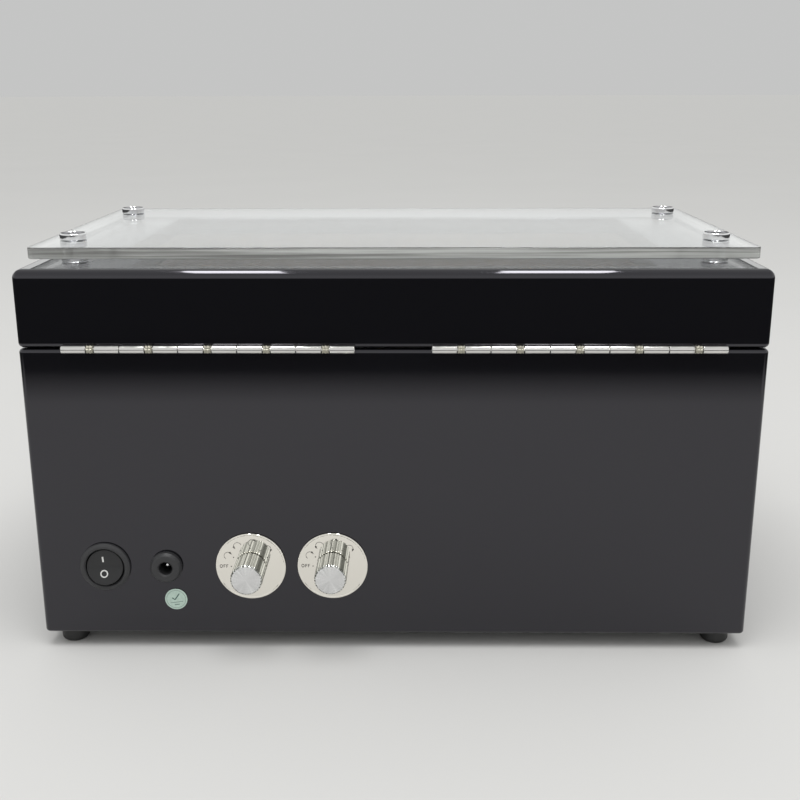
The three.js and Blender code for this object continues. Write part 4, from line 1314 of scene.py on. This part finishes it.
def cord_round(line, radius, sides=12):
    """A tube of the given radius along a closed line."""
    ahead = heading(line)
    aside = unit(np.cross(ahead, Z_AXIS))
    over = np.cross(aside, ahead)
    angle = np.arange(sides) * (2 * math.pi / sides)
    ring = np.cos(angle)[None, :, None] * aside[:, None] + np.sin(angle)[None, :, None] * over[:, None]
    points = line[:, None] + radius * ring
    return new_object("cord", points, grid_faces(len(line), sides, along=True))


def stitches(height, count=96, length=1.5, radius=0.22, rings=7, sides=6):
    """Short capsules that lie just proud of the cover beside the seam, one every few millimetres."""
    line, normal = seam_line(height, count)
    ahead = heading(line)
    aside = np.cross(normal, ahead)
    t = np.linspace(0, math.pi, rings)
    angle = np.arange(sides) * (2 * math.pi / sides)
    along, r = -np.cos(t) * length / 2, np.maximum(np.sin(t), 0.02) ** 0.5 * radius
    centre = line + normal * radius * 0.35
    points = (
        centre[:, None, None]
        + along[None, :, None, None] * ahead[:, None, None]
        + (r[:, None] * np.cos(angle))[None, ..., None] * aside[:, None, None]
        + (r[:, None] * np.sin(angle))[None, ..., None] * normal[:, None, None]
    )
    faces = []
    for first in range(0, count * rings * sides, rings * sides):
        last = first + (rings - 1) * sides
        faces += grid_faces(rings, sides, start=first)
        faces += [list(range(first, first + sides))[::-1], list(range(last, last + sides))]
    return new_object("stitches", points, faces)


welt_line, _ = seam_line(SEAM_Z)
cover_parts = joined_object("cushion_pattern", [
    (foam, 0), (cord_round(welt_line, 0.75), 0),
    (stitches(SEAM_Z + STITCH_GAP), 1), (stitches(SEAM_Z - STITCH_GAP), 1),
])
pattern = rows_of(cover_parts.data.vertices, "co") / MM

# %% Four cushions from the one pattern
for side, outward in (("left", 1), ("right", -1)):
    for name, direction in (("outer", outward), ("inner", -outward)):
        origin, axes = on_slope(side)
        middle = origin + direction * POCKET_X * axes[0]
        mesh = cover_parts.data.copy()
        mesh.vertices.foreach_set("co", carried(pattern, (middle, axes)).reshape(-1))
        mesh.update()
        cushion = linked(f"cushion_{side}_{name}", mesh)
        finish_piece(
            cushion, f"cushion_{side}_{name}", [LEATHERETTE, THREAD], [f"watch_cushion_{side}_{name}"],
            sharp_above=60, weighted=False,
        )
spare = cover_parts.data
bpy.data.objects.remove(cover_parts)
bpy.data.meshes.remove(spare)

# %% [markdown]
# ## The drive under the deck
# Each turntable hangs on an axle in a brass bush, and a gear motor turns it through a rubber belt. All this
# is closed in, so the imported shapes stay, but each one still gets the finish of what it is made of. The
# pulleys, the motors and the bushes are round, so they are turned again here with true curves.

# %% Pulleys, bushes and motors
PULLEY_TOP, PULLEY_THICK = -41.5, 8.0
WINDOWS, WINDOW_RING, WINDOW_RADIUS = 5, 13.0, 4.5


def pulley_profile(groove, bore):
    """A rim, a flat-bottomed groove and a rim again, round a bore."""
    top, low, rim = PULLEY_TOP, PULLEY_TOP - PULLEY_THICK, groove + 3
    return filleted([
        (bore, low), (rim, low, 0.3), (rim, low + 1.6, 0.3), (groove, low + 1.9, 0.3), (groove, top - 1.9, 0.3),
        (rim, top - 1.6, 0.3), (rim, top, 0.3), (bore, top),
    ], 4, closed=bore > 0)


def moved_across(where, x, y):
    """The same place with its origin moved in its own x and y."""
    return where[0] + x * where[1][0] + y * where[1][1], where[1]


def motor_place(side):
    origin, axes = on_slope(side)
    spin = np.array(joint(f"motor_pulley_spin_{side}")["pos_m"]) / MM
    across = spin - origin
    return moved_across((origin, axes), across @ axes[0], across @ axes[1])


for side in SIDES:
    where, beside = on_slope(side), motor_place(side)
    big = turned_object(f"large_pulley_{side}", pulley_profile(21, AXLE_HOLE), where, 96, closed=True)
    carve(big, [
        drill(WINDOW_RADIUS, -60, -30, moved_across(where, *on_ring(WINDOW_RING, 360 / WINDOWS * i)), 32)
        for i in range(WINDOWS)
    ])
    finish_piece(big, f"turntable_{side}", WHITE_ACETAL, [f"driven_pulley_{side}"])
    shaft = filleted([(0, -61), (1.5, -61, 0.2), (1.5, -42.6), (0, -42.6)])
    small = joined_object(f"small_pulley_{side}", [
        (turned_object("wheel", pulley_profile(7, 0), beside, 64), 0),
        (turned_object("shaft", shaft, beside, 24), 1),
    ])
    finish_piece(
        small, f"motor_pulley_{side}", [WHITE_ACETAL, ZINC_STEEL], [f"motor_pulley_{side}"]
    )
    bush = filleted([
        (AXLE_HOLE, -63.7), (8, -63.7, 0.4), (8, -55.7), (11, -55.7, 0.3), (11, -53.7, 0.3), (6.5, -53.7),
        (6.5, -51.7, 0.3), (AXLE_HOLE, -51.7, 0.2),
    ], 4, closed=True)
    bush = turned_object(f"axle_bush_{side}", bush, where, 64, closed=True)
    finish_piece(bush, "case", SINTERED_BRASS, [f"axle_bearing_{side}"])
    can = filleted([
        (0, -88.2), (3, -88.2, 0.3), (3, -89, 0.3), (10, -88.3, 0.8), (10, -69.3), (12.5, -69.3, 0.4),
        (12.5, -58.4, 0.5), (0, -58.4),
    ], 4)
    can[:, 1] = np.maximum(can[:, 1], -88.3)
    tags = [box_object("tag", (x - 1, -0.3, -92.3), (x + 1, 0.3, -87.5), beside) for x in (-4, 4)]
    boss = filleted([(1.8, -59), (3.4, -59), (3.4, -54, 0.4), (1.8, -54, 0.2)], 3, closed=True)
    motor = joined_object(f"geared_motor_{side}", [
        (turned_object("can", can, beside, 72), 0), (turned_object("boss", boss, beside, 32, closed=True), 0),
        *((tag, 1) for tag in tags),
    ])
    finish_piece(motor, "case", [ZINC_STEEL, SINTERED_BRASS], [f"gear_motor_{side}"])

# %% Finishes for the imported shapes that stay
KEPT = {
    "control_board": circuit_board(), "drive_chassis": ZINC_STEEL, "jack_nut": NICKEL,
    **{f"turntable_axle_{side}": DARK_STEEL for side in SIDES},
    **{f"drive_belt_{side}": BELT_RUBBER for side in SIDES},
    **{f"mode_switch_{side}": BLACK_NYLON for side in SIDES},
    **{f"mode_shaft_{side}": DARK_STEEL for side in SIDES},
}
for node, material in KEPT.items():
    for material_slot in frame["nodes"][node].material_slots:
        material_slot.material = material
print(len(KEPT), "packed shapes stay, with new finishes")

# %% [markdown]
# ## Stage, light and camera
# Black lacquer has hardly any colour of its own: it shows what it reflects. So the light is built for the
# reflections first. The floor and the backdrop are pale, two long softboxes overhead draw the white streaks
# on the lid's edge, and a dark apron on the floor, seen only in reflections, gives the upright faces their
# deep black. A single big lamp would light the box just as well, but would leave nothing to read its
# roundings by.

# %% Floor, backdrop and apron
def plain(name, colour, roughness=0.9):
    material, tree, shader = new_finish(name, colour, roughness=roughness, Specular_IOR_Level=0.0)
    tinted(tree, shader, noise(tree, coordinates(tree), 3.0, detail=3.0), dimmed(colour, 0.985), colour)
    return material


def staged(name, points, faces, material, only_reflected=False):
    mesh = bpy.data.meshes.new(name)
    mesh.from_pydata(points.reshape(-1, 3).tolist(), [], faces)
    mesh.shade_smooth()
    mesh.materials.append(material)
    obj = linked(name, mesh)
    if only_reflected:
        obj.visible_camera = obj.visible_diffuse = obj.visible_shadow = obj.visible_transmission = False
    return obj


def ring_surface(radii, heights, sides=96):
    """Points (r cos a, r sin a, h) in metres for each radius and its height, centred under the box."""
    points = turned(np.column_stack([radii, heights]), sides)
    return points + np.array([0, MIDDLE_Y * MM, 0])


FLOOR = plain("pale_floor", (0.62, 0.615, 0.605))
floor_radii = np.array([0.0, 0.5, 1.0, 2.0, 4.0, 8.0, 16.0, 60.0])
staged("floor", ring_surface(floor_radii, 0 * floor_radii), grid_faces(len(floor_radii), 96), FLOOR)


APRON_START, APRON_END, APRON_HEIGHT = 0.51, 0.62, 0.003


def square_distance(tree, centre, power=6.0):
    """The sixth root of x^6 + y^6, which is equal along the sides of a square with round corners."""
    parts = tree.nodes.new("ShaderNodeSeparateXYZ")
    tree.links.new(coordinates(tree, (0.88, 1, 1), centre), parts.inputs[0])
    x, y = (maths(tree, "POWER", maths(tree, "ABSOLUTE", parts.outputs[axis]), power) for axis in "XY")
    return maths(tree, "POWER", maths(tree, "ADD", x, y), 1 / power)


def apron():
    """Dark cloth that fades in with the distance from the box."""
    material, tree, shader = new_finish("dark_apron", (0.003, 0.003, 0.004), roughness=0.9)
    fade = spread(tree, square_distance(tree, (0, MIDDLE_Y, 0)), 0, 1, APRON_START, APRON_END)
    mixed(tree, fade, tree.nodes.new("ShaderNodeBsdfTransparent"), shader)
    return material


apron_radii = np.array([0.40, 0.75, 1.2, 3.0, 6.0])
apron_points = ring_surface(apron_radii, 0 * apron_radii + APRON_HEIGHT)
staged("dark_apron", apron_points, grid_faces(len(apron_radii), 96), apron(), only_reflected=True)

# %% Studio walls and lamps
scene.world = bpy.data.worlds.new("studio")
scene.world.use_nodes = True
room = scene.world.node_tree
direction = room.nodes.new("ShaderNodeTexCoord")
height = room.nodes.new("ShaderNodeSeparateXYZ")
room.links.new(direction.outputs["Generated"], height.inputs[0])
rising = spread(room, height.outputs["Z"], 0, 1, 0.078, 0.115)
falling = spread(room, height.outputs["Z"], 1, 0.45, 0.35, 0.8)
wall = blended(room, maths(room, "MULTIPLY", rising, falling), (0.555, 0.558, 0.555), (0.90, 0.91, 0.90))
room.links.new(wall, room.nodes["Background"].inputs["Color"])


def lamp(name, kind, at, power, towards=(0, 0, 0.09), size=(0.5, 0.5), seen_in_gloss=True):
    """A lamp turned to face a point; an area lamp is size across by size along."""
    data = bpy.data.lights.new(name, kind)
    data.energy = power
    if kind == "AREA":
        data.shape = "RECTANGLE"
        data.size, data.size_y = size
    else:
        data.angle = math.radians(70)
    obj = linked(name, data)
    obj.location = at
    obj.rotation_euler = (Vector(towards) - Vector(at)).to_track_quat("-Z", "Y").to_euler()
    obj.visible_glossy = seen_in_gloss
    return obj


for x, across in ((0.295, 0.165), (-0.25, 0.19)):
    strip = lamp("strip", "AREA", (x, 0.25, 1.55), 37.0 * across, (x, 0.25, 0), (across, 0.9))
    strip.visible_diffuse = False
lamp("overhead", "AREA", (0, 0.5, 1.7), 13.0, (0, 0.3, 0), (1.2, 1.0), seen_in_gloss=False)
lamp("ceiling", "SUN", (0.1, 0.6, 2.0), 0.5, seen_in_gloss=False)

# %% Camera
camera = linked("camera", bpy.data.cameras.new("camera"))
camera.data.lens = 49.61
camera.data.sensor_width = 36.0
camera.data.clip_start = 0.01
camera.location = (-0.00923, 0.55465, 0.2504)
camera.rotation_euler = [math.radians(angle) for angle in (74.32295, 0.13769, -179.30665)]
scene.camera = camera
scene.view_settings.view_transform = "Standard"

# %% Update the scene
bpy.context.view_layer.update()
